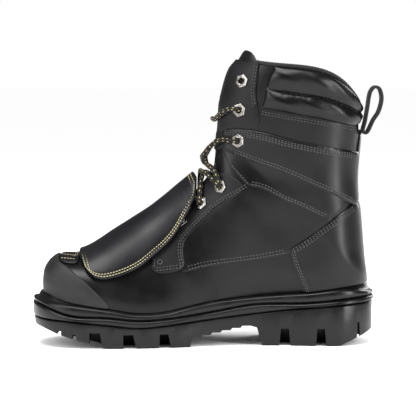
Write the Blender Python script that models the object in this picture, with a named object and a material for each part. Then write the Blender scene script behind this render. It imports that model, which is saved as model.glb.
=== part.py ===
"""A metatarsal guard boot for the right foot, as a maker puts it together.

Metres, Z up. The toe points to -X, the inner side of the foot to -Y. The origin lies on the
floor under the middle of the boot's box.
"""

import math

import bmesh
import bpy
import numpy as np
from mathutils import Vector

# Driving sizes of the boot
LENGTH = 0.315  # outsole from toe to heel
BALL_WIDTH = 0.116  # outsole across the ball
SOLE_HEIGHT = 0.055  # floor to the seat of the upper at the heel
RISE = 0.218  # seat of the upper to the collar at the front of the shaft
GAP = 0.0003  # clearance between pieces that touch
SEAT_GAP = 0.0005  # clearance over the curved seat of the sole
FOOTBED_GAP = 0.0015  # clearance round the insole

# Leather, lining and padding
WALL = 0.0026
TONGUE_THICK = 0.0045
INSOLE_THICK = 0.004
BUMPER_THICK = 0.0023
COUNTER_THICK = 0.0020
STAY_THICK = 0.0014
FACING_THICK = 0.0016
TAB_THICK = 0.0018
RIDGE_THICK = 0.0012
RIDGE_WIDE = 0.0042
PAD_EDGE = 0.0012
PAD_BULGE = 0.0048
BINDING_RADIUS = 0.0019
GUARD_THICK = 0.0028
LOOP_THICK = 0.0026
LOOP_WIDE = 0.022

# Eyelets, rivets and lace
EYELET_FLATS = 0.0114
EYELET_BORE = 0.0052
EYELET_THICK = 0.0013
EYELET_SAG = 0.0005  # room under a flat eyelet on the curved facing
RIVET_RADIUS = 0.0027
RIVET_THICK = 0.0012
LACE_RADIUS = 0.0017

# How far the upper stands in from the edge of the sole
TOE_SHELF = 0.03746 * LENGTH  # at the first section of the form
SIDE_SHELF = 0.0062
HEEL_SHELF = 0.0080

# Rounding of the sole's outline and of the back of the heel
TOE_ROUND = 0.056
TOE_POWER = 2.35
HEEL_ROUND = 0.045
HEEL_POWER = 2.2
BACK_TURN = 0.056

# Throat, as half its width between the facings
THROAT_LOW = 0.0113
THROAT_HIGH = 0.0165
THROAT_START = 9.2  # section of the upper where the throat opens
THROAT_REACH = 0.030

# Sole details
TREAD_DEPTH = 0.0045
GROOVE_DEEP = 0.0030
ARCH_STEPS = 6
LUG_NOTCH_DEEP = 0.027

# Mesh fineness
SOLE_STATIONS = 32
SIDE_COLUMNS = 12
UPPER_SECTIONS = (
    0, 0.5, 1, 1.5, 2, 3, 4, 5, 6, 7, 8, 9, 10, 10.5, 11, 11.5, 12, 13, 14, 15, 16, 16.5, 17,
    17.5, 18, 19, 20, 21, 22, 23, 24,
)

# Outline of the sole: share of LENGTH from the toe, then half width and swing of the middle
# towards the outer side, both shares of BALL_WIDTH
PLAN_COLUMNS = ("along", "half", "swing")
PLAN = (
    (0.00, 0.435, -0.075),
    (0.10, 0.455, -0.065),
    (0.22, 0.490, -0.030),
    (0.32, 0.500, 0.000),
    (0.42, 0.475, 0.025),
    (0.52, 0.410, 0.040),
    (0.62, 0.360, 0.035),
    (0.72, 0.345, 0.020),
    (0.85, 0.365, 0.000),
    (1.00, 0.360, -0.010),
)

# Heights of the sole's side, as shares of SOLE_HEIGHT
LINE_COLUMNS = ("along", "lug_top", "groove", "rim", "seat")
LINES = (
    (0.000, 0.490, 0.745, 0.796, 0.874),
    (0.040, 0.470, 0.673, 0.771, 0.868),
    (0.100, 0.451, 0.555, 0.727, 0.764),
    (0.230, 0.382, 0.498, 0.631, 0.647),
    (0.310, 0.335, 0.451, 0.558, 0.578),
    (0.400, 0.373, 0.476, 0.582, 0.602),
    (0.460, 0.413, 0.515, 0.662, 0.680),
    (0.540, 0.464, 0.582, 0.745, 0.764),
    (0.635, 0.527, 0.673, 0.804, 0.822),
    (0.800, 0.633, 0.709, 0.878, 0.896),
    (0.930, 0.691, 0.782, 0.942, 0.991),
    (1.000, 0.718, 0.818, 0.882, 1.036),
)

# Underside of the outsole, toe spring first, then forefoot, arch, heel and its bevel
ARCH_FRONT, ARCH_BACK = 0.466, 0.644
ARCH_LOW, ARCH_HIGH = 0.156, 0.331
HEEL_FRONT, HEEL_BEVEL = 0.672, 0.903
FLOOR_FRONT, FLOOR_BACK = 0.222, 0.460
TOE_SPRING = ((0.000, 0.336), (0.026, 0.314), (0.078, 0.216), (0.117, 0.149), (0.171, 0.076))
HEEL_RISE = ((HEEL_BEVEL + 0.052, 0.124), (1.000, 0.224))

# Fan of sections of the upper. Each runs from the top or front line to the seat or back line.
# along: shares of LENGTH. rise and bow: shares of RISE above the seat. inner and outer: least
# half widths as shares of BALL_WIDTH. reach and power: rounding from the front line.
FAN_COLUMNS = (
    "top_along", "top_rise", "base_along", "base_rise", "inner", "outer", "reach", "power", "bow",
)
FAN = (
    (0.0375, 0.000, 0.0375, 0.000, 0.000, 0.000, 0.80, 2.60, 0.000),
    (0.0356, 0.034, 0.0440, 0.000, 0.000, 0.000, 0.80, 2.60, 0.000),
    (0.0394, 0.085, 0.0660, 0.000, 0.000, 0.000, 0.80, 2.60, 0.000),
    (0.0550, 0.130, 0.0940, 0.000, 0.000, 0.000, 0.80, 2.60, 0.000),
    (0.0825, 0.166, 0.1270, 0.000, 0.000, 0.000, 0.80, 2.60, 0.000),
    (0.1206, 0.182, 0.1710, 0.000, 0.000, 0.000, 0.85, 2.50, 0.000),
    (0.1650, 0.204, 0.2220, 0.000, 0.000, 0.000, 0.90, 2.35, 0.000),
    (0.2286, 0.252, 0.2860, 0.000, 0.000, 0.000, 0.95, 2.20, 0.000),
    (0.3016, 0.314, 0.3556, 0.000, 0.000, 0.000, 0.95, 2.05, 0.000),
    (0.3746, 0.373, 0.4286, 0.000, 0.300, 0.300, 0.95, 1.95, 0.000),
    (0.4380, 0.433, 0.5016, 0.000, 0.345, 0.360, 0.90, 1.90, 0.000),
    (0.4920, 0.496, 0.5870, 0.000, 0.340, 0.358, 0.75, 1.95, 0.000),
    (0.5206, 0.550, 0.6730, 0.000, 0.336, 0.355, 0.62, 2.00, 0.000),
    (0.5270, 0.600, 0.7620, 0.000, 0.336, 0.353, 0.52, 2.05, 0.000),
    (0.5276, 0.637, 0.8440, 0.000, 0.336, 0.353, 0.50, 2.10, 0.000),
    (0.5290, 0.673, 0.9140, 0.000, 0.338, 0.353, 0.50, 2.10, 0.000),
    (0.5300, 0.705, 0.9570, 0.000, 0.340, 0.353, 0.50, 2.10, 0.000),
    (0.5317, 0.732, 0.9746, 0.000, 0.342, 0.355, 0.50, 2.10, 0.000),
    (0.5333, 0.759, 0.9667, 0.109, 0.347, 0.360, 0.50, 2.12, 0.000),
    (0.5360, 0.791, 0.9584, 0.249, 0.356, 0.368, 0.50, 2.14, 0.004),
    (0.5390, 0.827, 0.9486, 0.416, 0.370, 0.380, 0.50, 2.18, 0.010),
    (0.5470, 0.867, 0.9517, 0.526, 0.384, 0.394, 0.50, 2.20, 0.022),
    (0.5565, 0.916, 0.9570, 0.616, 0.398, 0.407, 0.50, 2.20, 0.040),
    (0.5700, 0.962, 0.9556, 0.695, 0.408, 0.416, 0.50, 2.20, 0.056),
    (0.5905, 0.995, 0.9570, 0.749, 0.412, 0.420, 0.50, 2.20, 0.068),
    (0.6095, 1.050, 0.9587, 0.813, 0.414, 0.422, 0.50, 2.20, 0.074),
)
HEEL_ROW = 17  # section that reaches the back of the heel, where the form closes
COLLAR_ROW = 24  # section along the top of the collar
LAST_ROW = len(FAN) - 1

# Outlines in the side view, as rows of along and rise: shares of LENGTH and of RISE above the
# seat. An outline may run past the upper, where there is nothing to cut.
BUMPER_OUTLINE = (
    (0.074, 0.270), (0.074, 0.168), (0.082, 0.148), (0.106, 0.140), (0.143, 0.113),
    (0.184, 0.075), (0.233, 0.006), (0.180, 0.006), (0.140, 0.006), (0.100, 0.006),
    (0.070, 0.006), (0.040, 0.006), (-0.050, 0.006), (-0.050, 0.270),
)
TAB_OUTLINE = (
    (0.079, 0.270), (0.0795, 0.165), (0.088, 0.148), (0.135, 0.160), (0.138, 0.180),
    (0.141, 0.205), (0.141, 0.270),
)
COUNTER_OUTLINE = (
    (0.800, -0.050), (0.777, 0.062), (0.752, 0.149), (0.747, 0.192), (0.786, 0.218),
    (0.865, 0.288), (0.926, 0.342), (0.937, 0.344), (1.060, 0.333), (1.060, -0.050),
)
STAY_OUTLINE = (
    (0.956, 0.660), (0.951, 0.617), (0.929, 0.394), (0.931, 0.354), (1.060, 0.343),
    (1.060, 0.660),
)
EYESTAY_OUTLINE = (
    (0.450, 1.120), (0.672, 1.120), (0.662, 0.994), (0.653, 0.903), (0.649, 0.843),
    (0.656, 0.790), (0.662, 0.691), (0.566, 0.717), (0.557, 0.662), (0.562, 0.640),
    (0.548, 0.622), (0.450, 0.640),
)
LOWER_EYESTAY_OUTLINE = (
    (0.460, 0.606), (0.533, 0.533), (0.573, 0.525), (0.630, 0.452), (0.536, 0.386),
    (0.518, 0.358), (0.449, 0.288), (0.437, 0.242), (0.449, 0.150), (0.350, 0.156),
    (0.350, 0.227), (0.330, 0.465),
)
RIDGE_LINE = ((0.588, 0.602), (0.662, 0.553), (0.727, 0.515), (0.845, 0.423), (0.918, 0.352))

# Eyelets from the top down, each with the thickness of the facing under it. The third is set in
# the bare upper between the two facings.
EYELET_COLUMNS = ("along", "rise", "under")
EYELETS = (
    (0.614, 0.902, FACING_THICK),
    (0.606, 0.783, FACING_THICK),
    (0.602, 0.656, 0.0),
    (0.552, 0.469, FACING_THICK),
    (0.494, 0.411, FACING_THICK),
    (0.436, 0.355, FACING_THICK),
)
LOW_EYELETS = 3  # first eyelet of the lower facing
RIVET = (0.373, 0.204)

# Collar pad: column of the upper, the sections of its top, groove and bottom, then its swell as
# a share of PAD_BULGE
PAD_COLUMNS = ("column", "top", "groove", "bottom", "swell")
PAD_LINES = (
    (0.372, 24.0, 22.27, 21.14, 1.00),
    (0.430, 24.0, 22.28, 21.24, 1.00),
    (0.570, 24.0, 22.47, 21.52, 1.00),
    (0.700, 24.0, 22.70, 21.82, 0.95),
    (0.850, 24.0, 23.05, 22.30, 0.70),
    (1.000, 24.0, 23.40, 22.80, 0.35),
)
PAD_ROWS = (0.0, 0.06, 0.16, 0.28, 0.40, 0.47, 0.5, 0.53, 0.60, 0.72, 0.84, 0.94, 1.0)

# Metatarsal guard: section of the upper, column of its edge, how far it stands out at the
# ridge and at the edge in shares of GUARD_STAND
GUARD_STAND = 0.017
GUARD_COLUMNS = ("section", "edge_column", "ridge_out", "edge_out")
GUARD = (
    (5.42, 0.200, 0.312, 0.312),
    (5.55, 0.330, 0.318, 0.312),
    (5.80, 0.430, 0.345, 0.300),
    (6.20, 0.485, 0.415, 0.285),
    (6.65, 0.490, 0.520, 0.280),
    (7.13, 0.480, 0.650, 0.320),
    (7.86, 0.452, 0.820, 0.370),
    (8.44, 0.415, 0.930, 0.420),
    (9.31, 0.365, 0.960, 0.480),
    (9.97, 0.310, 0.900, 0.600),
    (10.51, 0.260, 0.840, 0.700),
    (10.90, 0.190, 0.790, 0.710),
    (11.13, 0.090, 0.740, 0.710),
)
GUARD_SIDE_COLUMNS = 7

# Lace strands: their lower and upper eyelet, how far out of the form they lie at the facings and
# over the throat, and by how many sections they sag there. The first is a bar, the rest cross.
LACES = (
    ("lace_bar", 1, 1, 0.0062, 0.0022, 2.5),
    ("lace_crossing_1", 3, 2, 0.0044, 0.0070, 2.3),
    ("lace_crossing_2", 4, 3, 0.0058, 0.0042, 0.0),
    ("lace_crossing_3", 5, 4, 0.0060, 0.0038, 0.0),
)
LACE_STATIONS = 11
LACE_END_SHARE = 0.085  # where a strand ends beside the strand that leaves the same eyelet

# Pull loop: middle of its webbing, in metres back from and above the foot of the loop
LOOP_FOOT = (0.9665, 0.640)
LOOP_LINE = (
    (0.0000, 0.0000), (0.0021, 0.0095), (0.0042, 0.0220), (0.0064, 0.0350), (0.0105, 0.0405),
    (0.0150, 0.0390), (0.0172, 0.0320), (0.0166, 0.0250), (0.0140, 0.0170), (0.0095, 0.0100),
    (0.0040, -0.0010),
)


def column_of(table, names, name, at):
    """One named column of a table, read at positions that its first column gives."""
    rows = np.array(table, float)
    places = rows[:, 0]
    values = rows[:, names.index(name)]
    slopes = np.gradient(values, places)
    at = np.clip(np.asarray(at, float), places[0], places[-1])
    k = np.clip(np.searchsorted(places, at, side="right") - 1, 0, len(places) - 2)
    span = places[k + 1] - places[k]
    t = (at - places[k]) / span
    lead = (1 + 2 * t) * (1 - t) ** 2 * values[k] + t * (1 - t) ** 2 * span * slopes[k]
    return lead + t * t * (3 - 2 * t) * values[k + 1] + t * t * (t - 1) * span * slopes[k + 1]


def fan_value(name, s):
    """A column of the fan, between whole sections too."""
    numbered = [(i, *row) for i, row in enumerate(FAN)]
    return column_of(numbered, ("section", *FAN_COLUMNS), name, s)


def turn(share, power):
    """Quarter of a superellipse: 0 at share 0, 1 from share 1 on."""
    share = np.clip(share, 0.0, 1.0)
    return (1 - (1 - share) ** power) ** (1 / power)


def turn_back(height, power):
    """Share at which the quarter superellipse has this height."""
    return 1 - (1 - np.clip(height, 0.0, 1.0) ** power) ** (1 / power)


def line_height(name, u):
    return SOLE_HEIGHT * column_of(LINES, LINE_COLUMNS, name, u / LENGTH)


def seat(u):
    return line_height("seat", u)


def swing(u):
    return BALL_WIDTH * column_of(PLAN, PLAN_COLUMNS, "swing", u / LENGTH)


def plan_half(u, front, back, side):
    """Half width of the outline that stands in by front, back and side from the sole's."""
    half = BALL_WIDTH * column_of(PLAN, PLAN_COLUMNS, "half", u / LENGTH) - side
    toe = turn((u - front) / TOE_ROUND, TOE_POWER)
    heel = turn((LENGTH - back - u) / HEEL_ROUND, HEEL_POWER)
    return half * toe * heel


def floor_line():
    """Underside of the outsole from toe to heel, as rows of along and height shares."""
    rows = list(TOE_SPRING)
    rows += [(FLOOR_FRONT, 0.0), (FLOOR_BACK, 0.0)]
    for k in range(ARCH_STEPS):
        height = ARCH_LOW + (ARCH_HIGH - ARCH_LOW) * k / (ARCH_STEPS - 1)
        start = ARCH_FRONT + (ARCH_BACK - ARCH_FRONT) * k / ARCH_STEPS
        finish = ARCH_FRONT + (ARCH_BACK - ARCH_FRONT) * (k + 0.82) / ARCH_STEPS
        rows += [(start, height), (finish, height)]
    rows += [(HEEL_FRONT - 0.014, ARCH_HIGH - 0.03), (HEEL_FRONT, 0.0), (HEEL_BEVEL, 0.0)]
    return rows + list(HEEL_RISE)


# Boot's own placing: the toe of the sole is at u = 0, the form is moved at the very end
def fan_point(s, t):
    """Point of the upper's form. s counts sections, t runs -1 inner, 0 front, 1 outer."""
    s, t = np.broadcast_arrays(np.asarray(s, float), np.asarray(t, float))
    open_below = s < HEEL_ROW - 1e-6
    top_u = LENGTH * fan_value("top_along", s)
    base_u = LENGTH * fan_value("base_along", s)
    base_u = np.clip(base_u, TOE_SHELF, LENGTH - HEEL_SHELF)
    top_z = seat(top_u) + RISE * np.maximum(fan_value("top_rise", s), 0) + SEAT_GAP
    rise = np.where(open_below, 0.0, np.maximum(fan_value("base_rise", s), 0))
    base_z = seat(base_u) + RISE * rise + SEAT_GAP
    share = np.abs(t)
    r = share - 0.11 * np.sin(2 * math.pi * share)
    seat_half = np.where(open_below, plan_half(base_u, TOE_SHELF, HEEL_SHELF, SIDE_SHELF), 0.0)
    least = np.where(t < 0, fan_value("inner", s), fan_value("outer", s)) * BALL_WIDTH
    widest = np.maximum(np.maximum(least, seat_half), 1e-7)
    length = np.hypot(base_u - top_u, base_z - top_z)
    back_reach = np.clip(BACK_TURN / np.maximum(length, 1e-4), 0.05, 0.5)
    start = back_reach * turn_back(seat_half / widest, HEEL_POWER)
    power = fan_value("power", s)
    front = turn(r / fan_value("reach", s), power)
    half = widest * front * turn((1 - r + start) / back_reach, HEEL_POWER)
    bow = RISE * fan_value("bow", s) * np.sin(math.pi * r**1.7)
    across = np.maximum(length, 1e-4)
    u = top_u + (base_u - top_u) * r + bow * (top_z - base_z) / across
    z = top_z + (base_z - top_z) * r + bow * (base_u - top_u) / across
    fade = np.clip((z - seat(u)) / (0.45 * RISE), 0, 1)
    middle = swing(u) * (1 - fade * fade * (3 - 2 * fade))
    return np.stack([u, middle + np.sign(t) * half, z], axis=-1)


def fan_normal(s, t):
    """Outward direction of the form."""
    s, t = np.broadcast_arrays(np.asarray(s, float), np.asarray(t, float))
    step = 1e-3
    closed = s >= HEEL_ROW - 1e-6
    after = t + step
    before = t - step
    after = np.where(closed & (after > 1), after - 2, np.minimum(after, 1))
    before = np.where(closed & (before < -1), before + 2, np.maximum(before, -1))
    up = fan_point(np.minimum(s + step, LAST_ROW), t) - fan_point(np.maximum(s - step, 0), t)
    round_form = fan_point(s, after) - fan_point(s, before)
    normal = np.cross(up, round_form)
    tip = s < 0.5 * step
    normal[tip] = (-1.0, 0.0, 0.0)
    edge = (s < HEEL_ROW + 1e-6) & (np.abs(t) > 1 - 1e-6)
    normal[edge, 2] = 0.0
    ridge = (np.abs(t) < 1e-9) | (closed & (np.abs(t) > 1 - 1e-6))
    normal[ridge, 1] = 0.0
    return normal / np.maximum(np.linalg.norm(normal, axis=-1, keepdims=True), 1e-12)


def skin(s, t, grow):
    """Point that stands this far out of the form."""
    return fan_point(s, t) + grow * fan_normal(s, t)


def locate(along, rise, side):
    """Section and column of the form at this place of the side view."""
    u = LENGTH * along
    z = float(seat(u)) + RISE * rise
    low_s, high_s, low_t, high_t = 0.0, float(LAST_ROW), 0.0, 1.0
    for _ in range(7):
        s = np.linspace(low_s, high_s, 25)[:, None]
        t = np.linspace(low_t, high_t, 25)[None, :]
        points = fan_point(s, side * t)
        miss = (points[..., 0] - u) ** 2 + (points[..., 2] - z) ** 2
        i, j = np.unravel_index(np.argmin(miss), miss.shape)
        best_s, best_t = s[i, 0], t[0, j]
        wide_s, wide_t = (high_s - low_s) / 6, (high_t - low_t) / 6
        low_s, high_s = max(0, best_s - wide_s), min(LAST_ROW, best_s + wide_s)
        low_t, high_t = max(0, best_t - wide_t), min(1, best_t + wide_t)
    return best_s, side * best_t


# Making objects
def new_object(name, verts, faces, collection):
    """Closed mesh object from points and faces, doubles merged, faces turned outwards."""
    mesh = bpy.data.meshes.new(name)
    mesh.from_pydata([tuple(map(float, v)) for v in verts], [], faces)
    shaped = bmesh.new()
    shaped.from_mesh(mesh)
    bmesh.ops.remove_doubles(shaped, verts=shaped.verts, dist=2e-6)
    bmesh.ops.dissolve_degenerate(shaped, edges=shaped.edges, dist=1e-6)
    bmesh.ops.recalc_face_normals(shaped, faces=shaped.faces)
    shaped.to_mesh(mesh)
    shaped.free()
    obj = bpy.data.objects.new(name, mesh)
    collection.objects.link(obj)
    return obj


def loft(name, rings, collection, caps=True):
    """Solid through rings of equal point counts, closed round and at both ends."""
    count = len(rings[0])
    verts = [point for ring in rings for point in ring]
    faces = []
    for k in range(len(rings) - 1):
        for i in range(count):
            j = (i + 1) % count
            faces.append((k * count + i, k * count + j, (k + 1) * count + j, (k + 1) * count + i))
    if caps:
        faces.append(tuple(range(count)))
        faces.append(tuple((len(rings) - 1) * count + i for i in range(count)))
    return new_object(name, verts, faces, collection)


def patch(name, s, t, outside, inside, collection):
    """Curved plate over a grid of sections s and columns t, between two growths of the form."""
    rows, cols = s.shape
    verts = []
    for grow in (outside, inside):
        grow = np.broadcast_to(np.asarray(grow, float), s.shape)
        verts += list((fan_point(s, t) + grow[..., None] * fan_normal(s, t)).reshape(-1, 3))
    faces = []

    def at(layer, i, j):
        return layer * rows * cols + i * cols + j

    def meets_itself(i):
        return s[i, 0] >= HEEL_ROW and abs(t[i, 0]) > 1 - 1e-6

    for layer in (0, 1):
        for i in range(rows - 1):
            for j in range(cols - 1):
                here, there = at(layer, i, j), at(layer, i + 1, j + 1)
                faces.append((here, at(layer, i, j + 1), there))
                faces.append((here, there, at(layer, i + 1, j)))
    for j in range(cols - 1):
        for i in (0, rows - 1):
            faces.append((at(0, i, j), at(0, i, j + 1), at(1, i, j + 1), at(1, i, j)))
    for i in range(rows - 1):
        if meets_itself(i) and meets_itself(i + 1):
            continue
        for j in (0, cols - 1):
            faces.append((at(0, i, j), at(0, i + 1, j), at(1, i + 1, j), at(1, i, j)))
    return new_object(name, verts, faces, collection)


def plate(name, sections, columns, outside, inside, collection):
    """Patch over whole sections."""
    s, t = np.meshgrid(np.array(sections, float), columns, indexing="ij")
    return patch(name, s, t, outside, inside, collection)


def whole_columns():
    side = np.linspace(0, 1, SIDE_COLUMNS + 1)
    return np.concatenate([-side[::-1], side[1:]])


def prism(name, outline, low_y, high_y, collection):
    """Solid with this outline in the side view, between two depths."""
    rings = [[(u, y, z) for u, z in outline] for y in (low_y, high_y)]
    return loft(name, rings, collection)


def side_view(points):
    """Side view places, in metres, of a table of along and rise shares."""
    return [(LENGTH * a, float(seat(LENGTH * a)) + RISE * h) for a, h in points]


def boolean(obj, other, operation):
    """Applies one Boolean and keeps its result as the object's mesh."""
    modifier = obj.modifiers.new(operation.lower(), "BOOLEAN")
    modifier.operation = operation
    modifier.object = other
    modifier.solver = "EXACT"
    bpy.context.view_layer.update()
    graph = bpy.context.evaluated_depsgraph_get()
    mesh = bpy.data.meshes.new_from_object(obj.evaluated_get(graph))
    obj.modifiers.remove(modifier)
    old = obj.data
    obj.data = mesh
    bpy.data.meshes.remove(old)


def finish(obj, material, smooth=38):
    """Gives the piece its material and its shading."""
    obj.data.materials.clear()
    obj.data.materials.append(material)
    obj.data.shade_smooth()
    obj.data.set_sharp_from_angle(angle=math.radians(smooth))
    return obj


def material(name, colour, roughness, metallic=0.0):
    made = bpy.data.materials.new(name)
    made.use_nodes = True
    shader = made.node_tree.nodes["Principled BSDF"]
    shader.inputs["Base Color"].default_value = (*colour, 1.0)
    shader.inputs["Roughness"].default_value = roughness
    shader.inputs["Metallic"].default_value = metallic
    return made


# Sole
def inset_places(shares, front, back):
    return front + (LENGTH - front - back) * shares


def plan_ring(u, front, back, side, z):
    """Closed ring of the outline, in by these amounts, at the heights z."""
    half = plan_half(u, front, back, side)
    inner = np.stack([u, swing(u) - half, z], axis=-1)
    outer = np.stack([u, swing(u) + half, z], axis=-1)
    return np.concatenate([inner, outer[-2:0:-1]])


def sole_ring(shares, inset, line, above):
    """Ring in from the sole's edge by inset, this far above a line of the sole's side."""
    u = inset_places(shares, inset, inset)
    return plan_ring(u, inset, inset, inset, line_height(line, u) + above)


def sole_stations(extra):
    """Shares of the length, closer together at toe and heel, with these ones added."""
    angle = np.linspace(0, math.pi, SOLE_STATIONS)
    shares = (1 - np.cos(angle)) / 2
    keep = [x for x in shares if all(abs(x - e) > 0.006 for e in extra)]
    return np.array(sorted(set(keep) | set(extra) | {0.0, 1.0}))


def slab(name, shares, rings, collection):
    """Solid through sole rings, its two caps laid in strips from side to side."""
    count = len(rings[0])
    verts = [p for ring in rings for p in ring]
    faces = []
    for k in range(len(rings) - 1):
        for i in range(count):
            j = (i + 1) % count
            faces.append((k * count + i, k * count + j, (k + 1) * count + j, (k + 1) * count + i))
    last = len(shares) - 1
    for base in (0, (len(rings) - 1) * count):
        for i in range(last):
            here, there = base + i, base + i + 1
            back, front = base + (count - i) % count, base + (count - i - 1) % count
            if i == 0:
                faces.append((here, there, front))
            elif i == last - 1:
                faces.append((here, there, back))
            else:
                faces.append((here, there, front, back))
    return new_object(name, verts, faces, collection)


# Pieces of the sole
# Edges of the outsole: in from the outline, then above the underside or the line of the lugs
TREAD_EDGE = ((0.0032, 0.0), (0.0016, 0.0014))
LUG_TOP_EDGE = ((0.0010, -0.0012), (0.0026, 0.0))


def make_outsole(parts, cutters):
    floor = floor_line()
    steps = [a for a, _ in floor if 0 < a < 1]
    shares = sole_stations(steps)

    places, heights = zip(*floor)
    underside = SOLE_HEIGHT * np.interp(shares, places, heights)
    rings = []
    for inset, above in TREAD_EDGE:
        u = inset_places(shares, inset, inset)
        rings.append(plan_ring(u, inset, inset, inset, underside + above))
    for inset, above in LUG_TOP_EDGE:
        rings.append(sole_ring(shares, inset, "lug_top", above))
    outsole = slab("outsole", shares, rings, parts)
    for cutter in lug_cutters(cutters):
        boolean(outsole, cutter, "DIFFERENCE")
    return outsole


# Gaps between the lugs, on both sides: front and back edge at the floor and at the roof, all
# shares of LENGTH, then the roof as a share of SOLE_HEIGHT
NOTCH_COLUMNS = ("front_low", "back_low", "front_roof", "back_roof", "roof")
NOTCHES = (
    (0.076, 0.094, 0.080, 0.090, 0.285),
    (0.121, 0.138, 0.124, 0.134, 0.235),
    (0.171, 0.216, 0.173, 0.203, 0.265),
    (0.268, 0.314, 0.270, 0.298, 0.230),
    (0.371, 0.414, 0.374, 0.398, 0.230),
    (0.716, 0.756, 0.724, 0.746, 0.290),
    (0.822, 0.860, 0.829, 0.850, 0.290),
    (0.944, 0.957, 0.946, 0.952, 0.385),
)
# Cross grooves of the middle lugs, share of LENGTH and half length as a share of BALL_WIDTH
GROOVES = ((0.245, 0.20), (0.345, 0.20), (0.435, 0.17), (0.705, 0.12), (0.790, 0.12), (0.880, 0.12))
GROOVE_WIDE = 0.0055


def lug_cutters(cutters):
    made = []
    for n, (front_low, back_low, front_roof, back_roof, roof) in enumerate(NOTCHES):
        below = -0.2
        outline = [(front_low, below), (back_low, below), (back_roof, roof), (front_roof, roof)]
        outline = [(LENGTH * a, SOLE_HEIGHT * h) for a, h in outline]
        u = LENGTH * (front_low + back_low) / 2
        middle = float(swing(u))
        half = float(plan_half(u, 0, 0, 0))
        deep = min(LUG_NOTCH_DEEP, 0.62 * half)
        for side in (-1, 1):
            near, far = middle + side * (half - deep), middle + side * 2 * BALL_WIDTH
            name = f"notch_{n}_{'outer' if side > 0 else 'inner'}"
            made.append(prism(name, outline, min(near, far), max(near, far), cutters))
    for n, (along, half) in enumerate(GROOVES):
        u, middle = LENGTH * along, float(swing(LENGTH * along))
        wide = GROOVE_WIDE / 2
        outline = [(u - wide, -0.01), (u + wide, -0.01), (u + wide * 0.8, TREAD_DEPTH),
                   (u - wide * 0.8, TREAD_DEPTH)]
        reach = half * BALL_WIDTH
        made.append(prism(f"groove_{n}", outline, middle - reach, middle + reach, cutters))
    return made


# Side of the midsole from below: the line, how far above it, how far in from the edge
MIDSOLE_SIDE = (
    ("lug_top", GAP, 0.0026),
    ("lug_top", 0.0014, 0.0004),
    ("groove", -0.0020, 0.0000),
    ("groove", -0.0006, 0.0010),
    ("groove", 0.0000, GROOVE_DEEP),
    ("groove", 0.0008, GROOVE_DEEP),
    ("groove", 0.0016, 0.0014),
    ("rim", -0.0012, 0.0016),
    ("rim", 0.0000, 0.0030),
    ("seat", 0.0000, 0.0062),
)


def make_midsole(parts):
    shares = sole_stations([])
    rings = []
    for line, above, inset in MIDSOLE_SIDE:
        rings.append(sole_ring(shares, inset, line, above))
    return slab("midsole", shares, rings, parts)


def make_insole(parts):
    shares = sole_stations([])
    clear = WALL + FOOTBED_GAP
    front, back, side = TOE_SHELF + clear, HEEL_SHELF + clear, SIDE_SHELF + clear
    u = inset_places(shares, front, back)
    rings = []
    for above in (SEAT_GAP, SEAT_GAP + INSOLE_THICK):
        rings.append(plan_ring(u, front, back, side, seat(u) + above))
    return slab("insole", shares, rings, parts)


# Upper and tongue
def throat_half(s):
    share = np.clip((s - THROAT_START) / (LAST_ROW - THROAT_START), 0, 1)
    return THROAT_LOW + (THROAT_HIGH - THROAT_LOW) * share


def throat_cutter(collection):
    """Wedge through the front of the upper, between the facings."""
    rings = []
    for s in [THROAT_START, *range(math.ceil(THROAT_START), LAST_ROW + 1)]:
        top = fan_point(s, 0.0)
        middle = fan_point(s, 0.35)
        inward = np.array([middle[0] - top[0], 0.0, middle[2] - top[2]])
        inward /= np.linalg.norm(inward)
        half = float(throat_half(s))
        ring = []
        for side, deep in ((-1, -0.02), (1, -0.02), (1, THROAT_REACH), (-1, THROAT_REACH)):
            point = top + inward * deep
            ring.append((point[0], top[1] + side * half, point[2]))
        rings.append(ring)
    return loft("throat_cutter", rings, collection)


def make_upper(parts, cutters):
    upper = plate("upper", UPPER_SECTIONS, whole_columns(), 0.0, -WALL, parts)
    boolean(upper, throat_cutter(cutters), "DIFFERENCE")
    return upper


TONGUE_START = 8
TONGUE_END = 24.85
TONGUE_COLUMNS = 3  # columns of the upper that the tongue reaches on each side


def make_tongue(parts):
    outside, inside = -(WALL + GAP), -(WALL + GAP + TONGUE_THICK)
    reach = slice(SIDE_COLUMNS - TONGUE_COLUMNS, SIDE_COLUMNS + TONGUE_COLUMNS + 1)
    sections = [s for s in UPPER_SECTIONS if s >= TONGUE_START] + [TONGUE_END]
    return plate("tongue", sections, whole_columns()[reach], outside, inside, parts)


# Pieces laid on the upper
def overlay(name, low, high, thick, outline, parts, cutters, side=0):
    """Part of a shell round the upper inside a side view outline, on both sides or on one."""
    sections = [s for s in UPPER_SECTIONS if low <= s <= high]
    if high > COLLAR_ROW:
        sections.append(high)
    piece = plate(name, sections, whole_columns(), GAP + thick, GAP, parts)
    depth = (-BALL_WIDTH, BALL_WIDTH)
    if side:
        depth = (min(0, side * BALL_WIDTH), max(0, side * BALL_WIDTH))
    boolean(piece, prism(name + "_outline", side_view(outline), *depth, cutters), "INTERSECT")
    return piece


SIDES = ((-1, "inner"), (1, "outer"))


def make_eyestays(parts, cutters, throat):
    made = []
    for side, word in SIDES:
        top = overlay(f"eyestay_{word}", 13, COLLAR_ROW, FACING_THICK, EYESTAY_OUTLINE,
                      parts, cutters, side)
        low = overlay(f"lower_eyestay_{word}", 7, 16, FACING_THICK, LOWER_EYESTAY_OUTLINE,
                      parts, cutters, side)
        for piece, rows in ((top, EYELETS[:LOW_EYELETS]), (low, EYELETS[LOW_EYELETS:])):
            boolean(piece, throat, "DIFFERENCE")
            boolean(piece, eyelet_cutter(rows, cutters, side), "DIFFERENCE")
            made.append(piece)
    return made


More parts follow.
